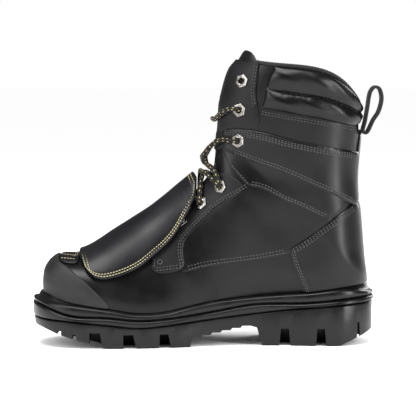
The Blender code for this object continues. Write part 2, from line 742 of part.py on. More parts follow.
def thick_line(line, wide):
    """Outline of a band of this width along a side view line."""
    points = [Vector(p) for p in side_view(line)]
    left, right = [], []
    for k, point in enumerate(points):
        before, after = points[max(k - 1, 0)], points[min(k + 1, len(points) - 1)]
        ahead = (after - before).normalized()
        across = Vector((-ahead.y, ahead.x)) * wide / 2
        left.append(point + across)
        right.append(point - across)
    return [tuple(p) for p in left + right[::-1]]


def make_ridges(parts, cutters):
    made = []
    for side, word in SIDES:
        name = f"ankle_ridge_{word}"
        sections = [s for s in UPPER_SECTIONS if 14 <= s <= 21]
        ridge = plate(name, sections, whole_columns(), GAP + RIDGE_THICK, GAP, parts)
        low, high = min(0, side * BALL_WIDTH), max(0, side * BALL_WIDTH)
        band = prism(name + "_outline", thick_line(RIDGE_LINE, RIDGE_WIDE), low, high, cutters)
        boolean(ridge, band, "INTERSECT")
        made.append(ridge)
    return made


def pad_grid(shares, columns):
    """Sections and columns of the collar pad: rows down from the collar, then round the back."""
    count = np.abs(columns)
    top, groove, bottom = (
        column_of(PAD_LINES, PAD_COLUMNS, name, count) for name in ("top", "groove", "bottom")
    )
    rows = []
    for v in shares:
        rows.append(top + (groove - top) * 2 * v if v < 0.5
                    else groove + (bottom - groove) * (2 * v - 1))
    return np.array(rows), np.broadcast_to(columns, (len(shares), len(columns)))


def make_collar_pad(parts):
    side = np.array([k / SIDE_COLUMNS for k in range(5, SIDE_COLUMNS + 1)])
    side = np.concatenate([[PAD_LINES[0][0]], side])
    columns = np.concatenate([-side, side[-2::-1]])
    s, t = pad_grid(PAD_ROWS, columns)
    roll = np.abs(np.sin(2 * math.pi * np.array(PAD_ROWS))) ** 0.75
    swell = column_of(PAD_LINES, PAD_COLUMNS, "swell", np.abs(columns))
    outside = GAP + PAD_EDGE + PAD_BULGE * roll[:, None] * swell[None, :]
    return patch("collar_pad", s, t, outside, GAP, parts)


def make_binding(parts):
    """Round edge over the top of the collar, from facing to facing round the back."""
    side = np.linspace(PAD_LINES[0][0], 1, 12)
    columns = np.concatenate([-side, side[-2::-1]])
    edge = skin(np.full(len(columns), float(COLLAR_ROW)), columns, -WALL / 2)
    above = skin(np.full(len(columns), COLLAR_ROW + 0.1), columns, -WALL / 2) - edge
    above /= np.linalg.norm(above, axis=1, keepdims=True)
    return tube("collar_binding", edge + above * (BINDING_RADIUS + SEAT_GAP), BINDING_RADIUS, parts)


def make_guard(parts):
    rows = np.array([row[0] for row in GUARD])
    across = np.linspace(-1, 1, 2 * GUARD_SIDE_COLUMNS + 1)
    s, v = np.meshgrid(rows, across, indexing="ij")
    edge, ridge_out, edge_out = (
        column_of(GUARD, GUARD_COLUMNS, name, s) for name in GUARD_COLUMNS[1:]
    )
    dome = np.cos(v * math.pi / 2) ** 0.8
    outside = GUARD_STAND * (edge_out + (ridge_out - edge_out) * dome)
    return patch("met_guard", s, v * edge, outside, outside - GUARD_THICK, parts)


def tube(name, points, radius, collection, sides=6):
    """Round cord along these points, with flat ends."""
    points = [Vector(p) for p in points]
    rings = []
    for k, point in enumerate(points):
        ahead = (points[min(k + 1, len(points) - 1)] - points[max(k - 1, 0)]).normalized()
        across = ahead.cross(Vector((0.31, 0.17, 0.93))).normalized()
        other = ahead.cross(across)
        turns = [2 * math.pi * i / sides for i in range(sides)]
        rings.append([point + radius * (math.cos(a) * across + math.sin(a) * other) for a in turns])
    return loft(name, rings, collection)


# Metal pieces
def frame_at(along, rise, side):
    """Place of the side view on the form, its outward normal and the direction up the form."""
    s, t = locate(along, rise, side)
    place, normal = Vector(fan_point(s, t)), Vector(fan_normal(np.array([s]), np.array([t]))[0])
    up = (Vector(fan_point(s + 0.2, t)) - place).normalized()
    up = (up - normal * up.dot(normal)).normalized()
    return place, normal, up


def disc_ring(frame, radii, out):
    """Ring of points round a frame, at a distance out along its normal."""
    place, normal, up = frame
    across = up.cross(normal)
    ring = []
    for k, radius in enumerate(radii):
        angle = 2 * math.pi * k / len(radii)
        ring.append(place + normal * out + radius * (math.cos(angle) * up + math.sin(angle) * across))
    return ring


def eyelet_cutter(rows, collection, only=0):
    """Bores of the eyelets as one cutter."""
    verts, faces = [], []
    for along, rise, _ in rows:
        for side, _ in SIDES:
            if only and side != only:
                continue
            frame = frame_at(along, rise, side)
            base = len(verts)
            verts += disc_ring(frame, [EYELET_BORE / 2] * 8, -0.008)
            verts += disc_ring(frame, [EYELET_BORE / 2] * 8, 0.008)
            faces += [(base + k, base + (k + 1) % 8, base + 8 + (k + 1) % 8, base + 8 + k)
                      for k in range(8)]
            faces += [tuple(range(base, base + 8)), tuple(range(base + 8, base + 16))]
    return new_object("eyelet_bores", verts, faces, collection)


def make_eyelets(parts):
    made = []
    hexagon = [EYELET_FLATS / math.sqrt(3), EYELET_FLATS / 2] * 6
    bore = [EYELET_BORE / 2] * 12
    for n, (along, rise, under) in enumerate(EYELETS, start=1):
        foot = EYELET_SAG + GAP + (under + GAP if under else 0.0)
        head = foot + EYELET_THICK
        for side, word in SIDES:
            frame = frame_at(along, rise, side)
            rings = [
                disc_ring(frame, bore, foot),
                disc_ring(frame, hexagon, foot),
                disc_ring(frame, hexagon, head),
                disc_ring(frame, bore, head),
            ]
            rings.append(rings[0])
            made.append(loft(f"eyelet_{word}_{n}", rings, parts, caps=False))
    return made


def make_rivets(parts):
    made = []
    foot = GAP + FACING_THICK + GAP + 0.0002
    for side, word in SIDES:
        frame = frame_at(*RIVET, side)
        rings = [
            disc_ring(frame, [RIVET_RADIUS] * 12, foot),
            disc_ring(frame, [RIVET_RADIUS] * 12, foot + 0.6 * RIVET_THICK),
            disc_ring(frame, [RIVET_RADIUS * 0.6] * 12, foot + RIVET_THICK),
        ]
        made.append(loft(f"rivet_{word}", rings, parts))
    return made


# Lace and pull loop
def strand(lower, upper, side, edge_out, middle_out, sag):
    """Middle line of a strand from a lower eyelet on one side to an upper on the other."""
    s_low, t_low = locate(*EYELETS[lower][:2], side)
    s_high, t_high = locate(*EYELETS[upper][:2], -side)
    share = np.linspace(LACE_END_SHARE, 1 - LACE_END_SHARE, LACE_STATIONS)
    over = np.sin(math.pi * share) ** 2
    s = s_low + (s_high - s_low) * share - sag * over
    t = t_low + (t_high - t_low) * share
    return skin(s, t, (edge_out + (middle_out - edge_out) * over**2)[:, None])


def make_laces(parts, cutters):
    made = []
    for name, lower, upper, *way in LACES:
        first = tube(name, strand(lower, upper, -1, *way), LACE_RADIUS, parts)
        if lower != upper:
            other = tube(name + "_back", strand(lower, upper, 1, *way), LACE_RADIUS, cutters)
            boolean(first, other, "UNION")
        made.append(first)
    return made


def make_pull_loop(parts):
    """Webbing bent into a loop that stands behind the collar."""
    foot_u = LENGTH * LOOP_FOOT[0]
    foot_z = float(seat(foot_u)) + RISE * LOOP_FOOT[1]
    line = [Vector((foot_u + back, foot_z + up)) for back, up in LOOP_LINE]
    count = len(line)
    rings = []
    for k, point in enumerate(line):
        ahead = (line[(k + 1) % count] - line[k - 1]).normalized()
        across = Vector((-ahead.y, ahead.x)) * LOOP_THICK / 2
        far, near = point + across, point - across
        half = LOOP_WIDE / 2
        rings.append([(far.x, -half, far.y), (far.x, half, far.y),
                      (near.x, half, near.y), (near.x, -half, near.y)])
    rings.append(rings[0])
    return loft("pull_loop", rings, parts, caps=False)


def stand_on_floor(parts):
    """Puts the origin on the floor under the middle of the boot's box."""
    bpy.context.view_layer.update()
    corners = np.array([obj.matrix_world @ Vector(c) for obj in parts.objects for c in obj.bound_box])
    low, high = corners.min(axis=0), corners.max(axis=0)
    boot = bpy.data.objects.new("boot", None)
    boot.location = (-(low[0] + high[0]) / 2, -(low[1] + high[1]) / 2, -low[2])
    pieces = list(parts.objects)
    parts.objects.link(boot)
    for piece in pieces:
        piece.parent = boot


def main():
    for obj in list(bpy.data.objects):
        bpy.data.objects.remove(obj, do_unlink=True)
    parts = bpy.data.collections.new("metatarsal_guard_boot")
    cutters = bpy.data.collections.new("cutters")
    for collection in (parts, cutters):
        bpy.context.scene.collection.children.link(collection)
    rubber = material("rubber", (0.012, 0.012, 0.013), 0.5)
    leather = material("leather", (0.012, 0.011, 0.011), 0.42)
    lining = material("lining", (0.03, 0.03, 0.03), 0.9)
    webbing = material("webbing", (0.014, 0.014, 0.014), 0.85)
    nickel = material("nickel", (0.62, 0.61, 0.58), 0.3, 1.0)
    finish(make_outsole(parts, cutters), rubber)
    finish(make_midsole(parts), rubber)
    finish(make_insole(parts), lining)
    finish(make_upper(parts, cutters), leather)
    finish(make_tongue(parts), leather)
    finish(overlay("toe_bumper", 0, 7, BUMPER_THICK, BUMPER_OUTLINE, parts, cutters), rubber)
    finish(overlay("guard_tab", 3, 7, TAB_THICK, TAB_OUTLINE, parts, cutters), leather)
    finish(overlay("counter", 12, 21, COUNTER_THICK, COUNTER_OUTLINE, parts, cutters), leather)
    finish(overlay("back_stay", 18, 24, STAY_THICK, STAY_OUTLINE, parts, cutters), leather)
    for piece in make_eyestays(parts, cutters, cutters.objects["throat_cutter"]):
        finish(piece, leather)
    for piece in make_ridges(parts, cutters):
        finish(piece, leather)
    finish(make_collar_pad(parts), leather)
    finish(make_binding(parts), webbing)
    finish(make_guard(parts), leather)
    for piece in make_eyelets(parts) + make_rivets(parts):
        finish(piece, nickel)
    for piece in make_laces(parts, cutters):
        finish(piece, webbing)
    finish(make_pull_loop(parts), webbing)
    stand_on_floor(parts)
    for cutter in cutters.objects:
        cutter.hide_render = True
        cutter.display_type = "WIRE"


main()
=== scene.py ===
"""Looks of the metatarsal guard boot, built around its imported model.

Metres, in the row's frame: toe to -X, inner side of the foot to -Y, floor at Z 0. The leather
pieces are laid on the same fan of sections as the model's upper, with finer steps.
"""

import math

import bmesh
import bpy
import numpy as np
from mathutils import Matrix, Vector


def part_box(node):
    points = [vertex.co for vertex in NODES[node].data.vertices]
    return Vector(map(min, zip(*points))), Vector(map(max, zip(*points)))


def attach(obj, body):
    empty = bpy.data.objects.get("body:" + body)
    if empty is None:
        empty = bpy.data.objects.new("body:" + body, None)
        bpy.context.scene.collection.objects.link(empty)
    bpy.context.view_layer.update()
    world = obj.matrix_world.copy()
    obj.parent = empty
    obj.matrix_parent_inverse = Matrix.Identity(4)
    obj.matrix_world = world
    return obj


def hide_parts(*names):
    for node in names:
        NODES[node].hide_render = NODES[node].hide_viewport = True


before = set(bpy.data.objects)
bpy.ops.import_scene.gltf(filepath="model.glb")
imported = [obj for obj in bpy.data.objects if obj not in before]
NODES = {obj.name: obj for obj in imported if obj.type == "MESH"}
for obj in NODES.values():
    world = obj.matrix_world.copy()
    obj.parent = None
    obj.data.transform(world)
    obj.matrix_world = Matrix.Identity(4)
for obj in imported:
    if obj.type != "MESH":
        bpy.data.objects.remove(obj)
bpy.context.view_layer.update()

for node_object in bpy.context.selected_objects:
    node_object.select_set(False)

# Sizes shared with the model
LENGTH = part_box("midsole")[1].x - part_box("midsole")[0].x
SHIFT_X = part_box("midsole")[0].x  # where the toe of the sole lies
SHIFT_Y = (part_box("pull_loop")[0].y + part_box("pull_loop")[1].y) / 2
BALL_WIDTH = 0.116
SOLE_HEIGHT = 0.055
RISE = 0.218
GAP = 0.0003
SEAT_GAP = 0.0005
WALL = 0.0026
TOE_SHELF, SIDE_SHELF, HEEL_SHELF = 0.0118, 0.0062, 0.0080
TOE_ROUND, TOE_POWER = 0.056, 2.35
HEEL_ROUND, HEEL_POWER = 0.045, 2.2
BACK_TURN = 0.056
THROAT_LOW, THROAT_HIGH, THROAT_START = 0.0113, 0.0165, 9.2
INNER, OUTER = -1, 1

PLAN_COLUMNS = ("along", "half", "swing")
PLAN = (
    (0.00, 0.435, -0.075),
    (0.10, 0.455, -0.065),
    (0.22, 0.490, -0.030),
    (0.32, 0.500, 0.000),
    (0.42, 0.475, 0.025),
    (0.52, 0.410, 0.040),
    (0.62, 0.360, 0.035),
    (0.72, 0.345, 0.020),
    (0.85, 0.365, 0.000),
    (1.00, 0.360, -0.010),
)
LINE_COLUMNS = ("along", "lug_top", "groove", "rim", "seat")
LINES = (
    (0.000, 0.490, 0.745, 0.796, 0.874),
    (0.040, 0.470, 0.673, 0.771, 0.868),
    (0.100, 0.451, 0.555, 0.727, 0.764),
    (0.230, 0.382, 0.498, 0.631, 0.647),
    (0.310, 0.335, 0.451, 0.558, 0.578),
    (0.400, 0.373, 0.476, 0.582, 0.602),
    (0.460, 0.413, 0.515, 0.662, 0.680),
    (0.540, 0.464, 0.582, 0.745, 0.764),
    (0.635, 0.527, 0.673, 0.804, 0.822),
    (0.800, 0.633, 0.709, 0.878, 0.896),
    (0.930, 0.691, 0.782, 0.942, 0.991),
    (1.000, 0.718, 0.818, 0.882, 1.036),
)
FAN_COLUMNS = (
    "section", "top_along", "top_rise", "base_along", "base_rise", "inner", "outer", "reach",
    "power", "bow",
)
FAN = (
    (0, 0.0375, 0.000, 0.0375, 0.000, 0.000, 0.000, 0.80, 2.60, 0.000),
    (1, 0.0356, 0.034, 0.0440, 0.000, 0.000, 0.000, 0.80, 2.60, 0.000),
    (2, 0.0394, 0.085, 0.0660, 0.000, 0.000, 0.000, 0.80, 2.60, 0.000),
    (3, 0.0550, 0.130, 0.0940, 0.000, 0.000, 0.000, 0.80, 2.60, 0.000),
    (4, 0.0825, 0.166, 0.1270, 0.000, 0.000, 0.000, 0.80, 2.60, 0.000),
    (5, 0.1206, 0.182, 0.1710, 0.000, 0.000, 0.000, 0.85, 2.50, 0.000),
    (6, 0.1650, 0.204, 0.2220, 0.000, 0.000, 0.000, 0.90, 2.35, 0.000),
    (7, 0.2286, 0.252, 0.2860, 0.000, 0.000, 0.000, 0.95, 2.20, 0.000),
    (8, 0.3016, 0.314, 0.3556, 0.000, 0.000, 0.000, 0.95, 2.05, 0.000),
    (9, 0.3746, 0.373, 0.4286, 0.000, 0.300, 0.300, 0.95, 1.95, 0.000),
    (10, 0.4380, 0.433, 0.5016, 0.000, 0.345, 0.360, 0.90, 1.90, 0.000),
    (11, 0.4920, 0.496, 0.5870, 0.000, 0.340, 0.358, 0.75, 1.95, 0.000),
    (12, 0.5206, 0.550, 0.6730, 0.000, 0.336, 0.355, 0.62, 2.00, 0.000),
    (13, 0.5270, 0.600, 0.7620, 0.000, 0.336, 0.353, 0.52, 2.05, 0.000),
    (14, 0.5276, 0.637, 0.8440, 0.000, 0.336, 0.353, 0.50, 2.10, 0.000),
    (15, 0.5290, 0.673, 0.9140, 0.000, 0.338, 0.353, 0.50, 2.10, 0.000),
    (16, 0.5300, 0.705, 0.9570, 0.000, 0.340, 0.353, 0.50, 2.10, 0.000),
    (17, 0.5317, 0.732, 0.9746, 0.000, 0.342, 0.355, 0.50, 2.10, 0.000),
    (18, 0.5333, 0.759, 0.9667, 0.109, 0.347, 0.360, 0.50, 2.12, 0.000),
    (19, 0.5360, 0.791, 0.9584, 0.249, 0.356, 0.368, 0.50, 2.14, 0.004),
    (20, 0.5390, 0.827, 0.9486, 0.416, 0.370, 0.380, 0.50, 2.18, 0.010),
    (21, 0.5470, 0.867, 0.9517, 0.526, 0.384, 0.394, 0.50, 2.20, 0.022),
    (22, 0.5565, 0.916, 0.9570, 0.616, 0.398, 0.407, 0.50, 2.20, 0.040),
    (23, 0.5700, 0.962, 0.9556, 0.695, 0.408, 0.416, 0.50, 2.20, 0.056),
    (24, 0.5905, 0.995, 0.9570, 0.749, 0.412, 0.420, 0.50, 2.20, 0.068),
    (25, 0.6095, 1.050, 0.9587, 0.813, 0.414, 0.422, 0.50, 2.20, 0.074),
)
HEEL_ROW, COLLAR_ROW, LAST_ROW = 17, 24, 25


# The form that carries the leather
def column_of(table, names, name, at):
    """One named column of a table, read at positions that its first column gives."""
    rows = np.array(table, float)
    places = rows[:, 0]
    values = rows[:, names.index(name)]
    slopes = np.gradient(values, places)
    at = np.clip(np.asarray(at, float), places[0], places[-1])
    k = np.clip(np.searchsorted(places, at, side="right") - 1, 0, len(places) - 2)
    span = places[k + 1] - places[k]
    t = (at - places[k]) / span
    lead = (1 + 2 * t) * (1 - t) ** 2 * values[k] + t * (1 - t) ** 2 * span * slopes[k]
    return lead + t * t * (3 - 2 * t) * values[k + 1] + t * t * (t - 1) * span * slopes[k + 1]


def fan_value(name, s):
    return column_of(FAN, FAN_COLUMNS, name, s)


def turn(share, power):
    share = np.clip(share, 0.0, 1.0)
    return (1 - (1 - share) ** power) ** (1 / power)


def turn_back(height, power):
    return 1 - (1 - np.clip(height, 0.0, 1.0) ** power) ** (1 / power)


def line_height(name, u):
    return SOLE_HEIGHT * column_of(LINES, LINE_COLUMNS, name, u / LENGTH)


def seat(u):
    return line_height("seat", u)


def swing(u):
    return BALL_WIDTH * column_of(PLAN, PLAN_COLUMNS, "swing", u / LENGTH)


def plan_half(u, front, back, side):
    half = BALL_WIDTH * column_of(PLAN, PLAN_COLUMNS, "half", u / LENGTH) - side
    toe = turn((u - front) / TOE_ROUND, TOE_POWER)
    heel = turn((LENGTH - back - u) / HEEL_ROUND, HEEL_POWER)
    return half * toe * heel


def fan_point(s, t):
    """Point of the form, u from the toe: s counts sections, t runs -1 inner, 0 front, 1 outer."""
    s, t = np.broadcast_arrays(np.asarray(s, float), np.asarray(t, float))
    open_below = s < HEEL_ROW - 1e-6
    top_u = LENGTH * fan_value("top_along", s)
    base_u = np.clip(LENGTH * fan_value("base_along", s), TOE_SHELF, LENGTH - HEEL_SHELF)
    top_z = seat(top_u) + RISE * np.maximum(fan_value("top_rise", s), 0) + SEAT_GAP
    rise = np.where(open_below, 0.0, np.maximum(fan_value("base_rise", s), 0))
    base_z = seat(base_u) + RISE * rise + SEAT_GAP
    share = np.abs(t)
    r = share - 0.11 * np.sin(2 * math.pi * share)
    seat_half = np.where(open_below, plan_half(base_u, TOE_SHELF, HEEL_SHELF, SIDE_SHELF), 0.0)
    least = np.where(t < 0, fan_value("inner", s), fan_value("outer", s)) * BALL_WIDTH
    widest = np.maximum(np.maximum(least, seat_half), 1e-7)
    length = np.maximum(np.hypot(base_u - top_u, base_z - top_z), 1e-4)
    back_reach = np.clip(BACK_TURN / length, 0.05, 0.5)
    start = back_reach * turn_back(seat_half / widest, HEEL_POWER)
    front = turn(r / fan_value("reach", s), fan_value("power", s))
    half = widest * front * turn((1 - r + start) / back_reach, HEEL_POWER)
    bow = RISE * fan_value("bow", s) * np.sin(math.pi * r**1.7)
    u = top_u + (base_u - top_u) * r + bow * (top_z - base_z) / length
    z = top_z + (base_z - top_z) * r + bow * (base_u - top_u) / length
    fade = np.clip((z - seat(u)) / (0.45 * RISE), 0, 1)
    middle = swing(u) * (1 - fade * fade * (3 - 2 * fade))
    return np.stack([u, middle + np.sign(t) * half, z], axis=-1)


def fan_normal(s, t):
    """Outward direction of the form."""
    s, t = np.broadcast_arrays(np.asarray(s, float), np.asarray(t, float))
    step = 1e-3
    closed = s >= HEEL_ROW - 1e-6
    after, before = t + step, t - step
    after = np.where(closed & (after > 1), after - 2, np.minimum(after, 1))
    before = np.where(closed & (before < -1), before + 2, np.maximum(before, -1))
    up = fan_point(np.minimum(s + step, LAST_ROW), t) - fan_point(np.maximum(s - step, 0), t)
    normal = np.cross(up, fan_point(s, after) - fan_point(s, before))
    normal[s < 0.5 * step] = (-1.0, 0.0, 0.0)
    edge = (s < HEEL_ROW + 1e-6) & (np.abs(t) > 1 - 1e-6)
    normal[edge, 2] = 0.0
    ridge = (np.abs(t) < 1e-9) | (closed & (np.abs(t) > 1 - 1e-6))
    normal[ridge, 1] = 0.0
    return normal / np.maximum(np.linalg.norm(normal, axis=-1, keepdims=True), 1e-12)


def skin(s, t, grow):
    """Point in the row's frame that stands this far out of the form."""
    place = fan_point(s, t) + np.asarray(grow)[..., None] * fan_normal(s, t)
    return place + (SHIFT_X, SHIFT_Y, 0.0)


GRID_S, GRID_T = np.meshgrid(np.linspace(0, LAST_ROW, 251), np.linspace(0, 1, 51), indexing="ij")
GRID_SIDES = {side: fan_point(GRID_S, side * GRID_T).reshape(-1, 3) for side in (INNER, OUTER)}


def locate(u, z, side):
    """Sections and columns of the form at these places of the side view."""
    u, z = np.asarray(u, float), np.asarray(z, float)
    grid = GRID_SIDES[side]
    miss = (grid[:, 0] - u[:, None]) ** 2 + (grid[:, 2] - z[:, None]) ** 2
    best = miss.argmin(axis=1)
    s, t = GRID_S.reshape(-1)[best], GRID_T.reshape(-1)[best]
    step = 1e-3
    for _ in range(5):
        here = fan_point(s, side * t)
        by_s = (fan_point(s + step, side * t) - here) / step
        by_t = (fan_point(s, side * (t + step)) - here) / step
        off_u, off_z = u - here[:, 0], z - here[:, 2]
        det = by_s[:, 0] * by_t[:, 2] - by_s[:, 2] * by_t[:, 0]
        det = np.where(np.abs(det) < 1e-9, 1e-9, det)
        more_s = (off_u * by_t[:, 2] - off_z * by_t[:, 0]) / det
        more_t = (by_s[:, 0] * off_z - by_s[:, 2] * off_u) / det
        s = np.clip(s + np.clip(more_s, -0.2, 0.2), 0, LAST_ROW)
        t = np.clip(t + np.clip(more_t, -0.02, 0.02), 0, 1)
    return s, side * t


def side_view(points):
    """Side view places in metres of rows of along and rise shares."""
    rows = np.array(points, float)
    u = LENGTH * rows[:, 0]
    return np.stack([u, seat(u) + RISE * rows[:, 1]], axis=-1)


def rounded(points, passes=2, closed=True):
    """Outline with its corners cut, so that it runs in curves."""
    for _ in range(passes):
        after = np.roll(points, -1, axis=0) if closed else points[1:]
        start = points if closed else points[:-1]
        cut = np.stack([0.75 * start + 0.25 * after, 0.25 * start + 0.75 * after], axis=1)
        cut = cut.reshape(-1, 2)
        points = cut if closed else np.concatenate([points[:1], cut, points[-1:]])
    return points


def outline_distance(outline, u, z):
    """Distance to a closed outline of the side view, negative inside it."""
    best = np.full(u.shape, 1e9)
    inside = np.zeros(u.shape, bool)
    for (u0, z0), (u1, z1) in zip(outline, np.roll(outline, -1, axis=0)):
        du, dz = u1 - u0, z1 - z0
        k = np.clip(((u - u0) * du + (z - z0) * dz) / max(du * du + dz * dz, 1e-12), 0, 1)
        best = np.minimum(best, np.hypot(u - u0 - k * du, z - z0 - k * dz))
        crosses = (z0 > z) != (z1 > z)
        inside ^= crosses & (u < u0 + (z - z0) * du / (dz if dz else 1e-12))
    return np.where(inside, -best, best)


# Making objects
def new_object(name, verts, faces, slots=None):
    mesh = bpy.data.meshes.new(name)
    mesh.from_pydata([tuple(map(float, v)) for v in verts], [], faces)
    if slots is not None:
        mesh.polygons.foreach_set("material_index", slots)
    obj = bpy.data.objects.new(name, mesh)
    bpy.context.scene.collection.objects.link(obj)
    return obj


def tidy_mesh(obj, smooth=40, outward=True):
    """Merges doubles, makes the faces agree where asked, and shades smoothly up to this angle."""
    shaped = bmesh.new()
    shaped.from_mesh(obj.data)
    bmesh.ops.remove_doubles(shaped, verts=shaped.verts, dist=1e-6)
    if outward:
        bmesh.ops.recalc_face_normals(shaped, faces=shaped.faces)
    shaped.to_mesh(obj.data)
    shaped.free()
    obj.data.shade_smooth()
    obj.data.set_sharp_from_angle(angle=math.radians(smooth))
    return obj


def dress(obj, slot, *materials, replaces=()):
    """Puts the finishes on a piece, hangs it under the root and hides the model's parts that it stands for.
    """
    obj.data.materials.clear()
    for finish in materials:
        obj.data.materials.append(finish)
    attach(obj, "root")
    if replaces:
        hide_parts(*replaces)
    return obj


def two_layers(name, outer, inner, used, wraps, lined=False):
    """Closed sheet from grids of outer and inner points and the faces that are used."""
    rows, cols = outer.shape[:2]
    index = np.arange(rows * cols).reshape(rows, cols)
    index[wraps, -1] = index[wraps, 0]
    faces, slots, directed = [], [], set()
    for face in used:
        ring = []
        for i, j in face:
            k = int(index[i, j])
            if k not in ring:
                ring.append(k)
        if len(ring) < 3:
            continue
        faces.append(tuple(ring))
        directed.update(zip(ring, ring[1:] + ring[:1]))
    total = rows * cols
    slots = [0] * len(faces)
    back = [tuple(k + total for k in reversed(face)) for face in faces]
    slots += [1 if lined else 0] * len(back)
    rim = [(b, a, a + total, b + total) for a, b in directed if (b, a) not in directed]
    slots += [0] * len(rim)
    faces = faces + back + rim
    verts = np.concatenate([outer.reshape(-1, 3), inner.reshape(-1, 3)])
    obj = new_object(name, verts, faces, slots)
    shaped = bmesh.new()
    shaped.from_mesh(obj.data)
    loose = [v for v in shaped.verts if not v.link_faces]
    bmesh.ops.delete(shaped, geom=loose, context="VERTS")
    shaped.to_mesh(obj.data)
    shaped.free()
    return obj


def leather_piece(name, s_rows, t_cols, distance, base, thick, under, shape=None, lined=False,
                  edge=0.0013, edge_keep=0.62, smooth=46):
    """Sheet of leather on the form, cut where distance is over 0, with a rounded edge."""
    s, t = np.meshgrid(s_rows, t_cols, indexing="ij")
    place = fan_point(s, t)
    off = distance(s, t, place)
    by_row, by_col = np.gradient(off)
    steep = by_row**2 + by_col**2 + 1e-16
    move_row, move_col = -off * by_row / steep, -off * by_col / steep
    near = (np.abs(move_row) < 0.55) & (np.abs(move_col) < 0.55) & (np.abs(off) < 0.003)
    move_row, move_col = np.where(near, move_row, 0), np.where(near, move_col, 0)
    move_row[[0, -1], :] = 0
    move_col[:, [0, -1]] = 0
    row, col = np.indices(s.shape)
    s = np.interp(row + move_row, np.arange(len(s_rows)), s_rows)
    t = np.interp(col + move_col, np.arange(len(t_cols)), t_cols)
    keep = (off < 0) | near
    deep = np.where(near, 0.0, np.maximum(-off, 0.0))
    lift = np.clip(deep / edge, 0, 1)
    lift = edge_keep + (1 - edge_keep) * np.sqrt(1 - (1 - lift) ** 2)
    grow = base + thick * lift
    if shape is not None:
        grow = grow + shape(s, t, fan_point(s, t)) * np.clip(deep / 0.003, 0, 1)
    outer = skin(s, t, grow)
    inner = skin(s, t, np.full(s.shape, under))
    used = []
    for i in range(len(s_rows) - 1):
        for j in range(len(t_cols) - 1):
            corners = [(i, j), (i, j + 1), (i + 1, j + 1), (i + 1, j)]
            kept = [c for c in corners if keep[c]]
            if len(kept) >= 3 and any(off[c] < 0 and not near[c] for c in kept):
                used.append(kept)
            elif len(kept) >= 3 and sum(off[c] for c in kept) < 0:
                used.append(kept)
    wraps = np.array(s_rows) >= HEEL_ROW - 1e-6
    wraps &= abs(t_cols[0]) > 1 - 1e-6
    obj = two_layers(name, outer, inner, used, wraps, lined)
    return tidy_mesh(obj, smooth, outward=False)


def full_grid(rows, cols):
    """Corners of every cell of a grid, wound outwards."""
    cells = [(i, j) for i in range(rows - 1) for j in range(cols - 1)]
    return [[(i + 1, j), (i + 1, j + 1), (i, j + 1), (i, j)] for i, j in cells]


def run_along(points):
    """Length from the first point of a line to each of its points."""
    return np.concatenate([[0], np.cumsum(np.linalg.norm(np.diff(points, axis=0), axis=1))])


def read_along(at, run, points):
    """Points of a line at these lengths along it."""
    return np.stack([np.interp(at, run, column) for column in points.T], axis=-1)


def round_the_heel(side):
    """Columns from one facing round the heel to the other."""
    return np.concatenate([-side, side[-2::-1]])


def fine_rows(low, high, pitch):
    """Sections between two, about pitch apart on the side of the form."""
    dense = np.linspace(low, high, int((high - low) * 40) + 2)
    side, front = (run_along(fan_point(dense, np.full(dense.shape, t))) for t in (0.62, 0.15))
    run = (side + front) / 2
    count = max(3, int(run[-1] / pitch))
    rows = np.interp(np.linspace(0, run[-1], count), run, dense)
    if low < HEEL_ROW < high:
        rows[np.abs(rows - HEEL_ROW).argmin()] = HEEL_ROW
    return rows


def throat_half(s):
    share = np.clip((s - THROAT_START) / (LAST_ROW - THROAT_START), 0, 1)
    return THROAT_LOW + (THROAT_HIGH - THROAT_LOW) * share


def in_throat(s, place):
    """Over 0 inside the throat, in metres."""
    side = throat_half(s) - np.abs(place[..., 1])
    return np.minimum(side, (s - THROAT_START) * 0.02)


# Materials
def linear(colour):
    """sRGB hex to linear."""
    parts = [int(colour[i:i + 2], 16) / 255 for i in (1, 3, 5)]
    return tuple(c / 12.92 if c <= 0.04045 else ((c + 0.055) / 1.055) ** 2.4 for c in parts) + (1,)


def add_node(tree, kind, settings=None, links=None):
    """A shader node with its settings and links by name."""
    made = tree.nodes.new("ShaderNode" + kind)
    for name, value in (settings or {}).items():
        if name in made.inputs:
            made.inputs[name].default_value = value
        else:
            setattr(made, name, value)
    for name, socket in (links or {}).items():
        tree.links.new(socket, made.inputs[name])
    return made


def new_material(name, **constants):
    made = bpy.data.materials.new(name)
    made.use_nodes = True
    shader = made.node_tree.nodes["Principled BSDF"]
    for socket, value in constants.items():
        shader.inputs[socket.replace("_", " ")].default_value = value
    return made, made.node_tree, shader


MM = 0.001


def mottled(tree, place, low, high, patch, detail=3.0):
    """Colour that wanders between two over patches of this size."""
    noise = add_node(tree, "TexNoise", {"Scale": 1 / patch, "Detail": detail}, {"Vector": place})
    ramp = add_node(tree, "MapRange", {"From Min": 0.35, "From Max": 0.68}, {"Value": noise.outputs["Fac"]})
    mix = add_node(tree, "MixRGB", {"Color1": linear(low), "Color2": linear(high)},
                   {"Fac": ramp.outputs["Result"]})
    return mix.outputs["Color"], noise.outputs["Fac"]


def give_bump(tree, shader, height, strength, depth, **more):
    """Relief of this strength and depth from a height."""
    bump = add_node(tree, "Bump", {"Strength": strength, "Distance": depth, **more}, {"Height": height})
    tree.links.new(bump.outputs["Normal"], shader.inputs["Normal"])


def give_shine(tree, shader, value, low, high, start=0.3, end=0.7):
    """Roughness from low to high as a value goes from start to end."""
    span = {"From Min": start, "From Max": end, "To Min": low, "To Max": high}
    shine = add_node(tree, "MapRange", span, {"Value": value})
    tree.links.new(shine.outputs["Result"], shader.inputs["Roughness"])


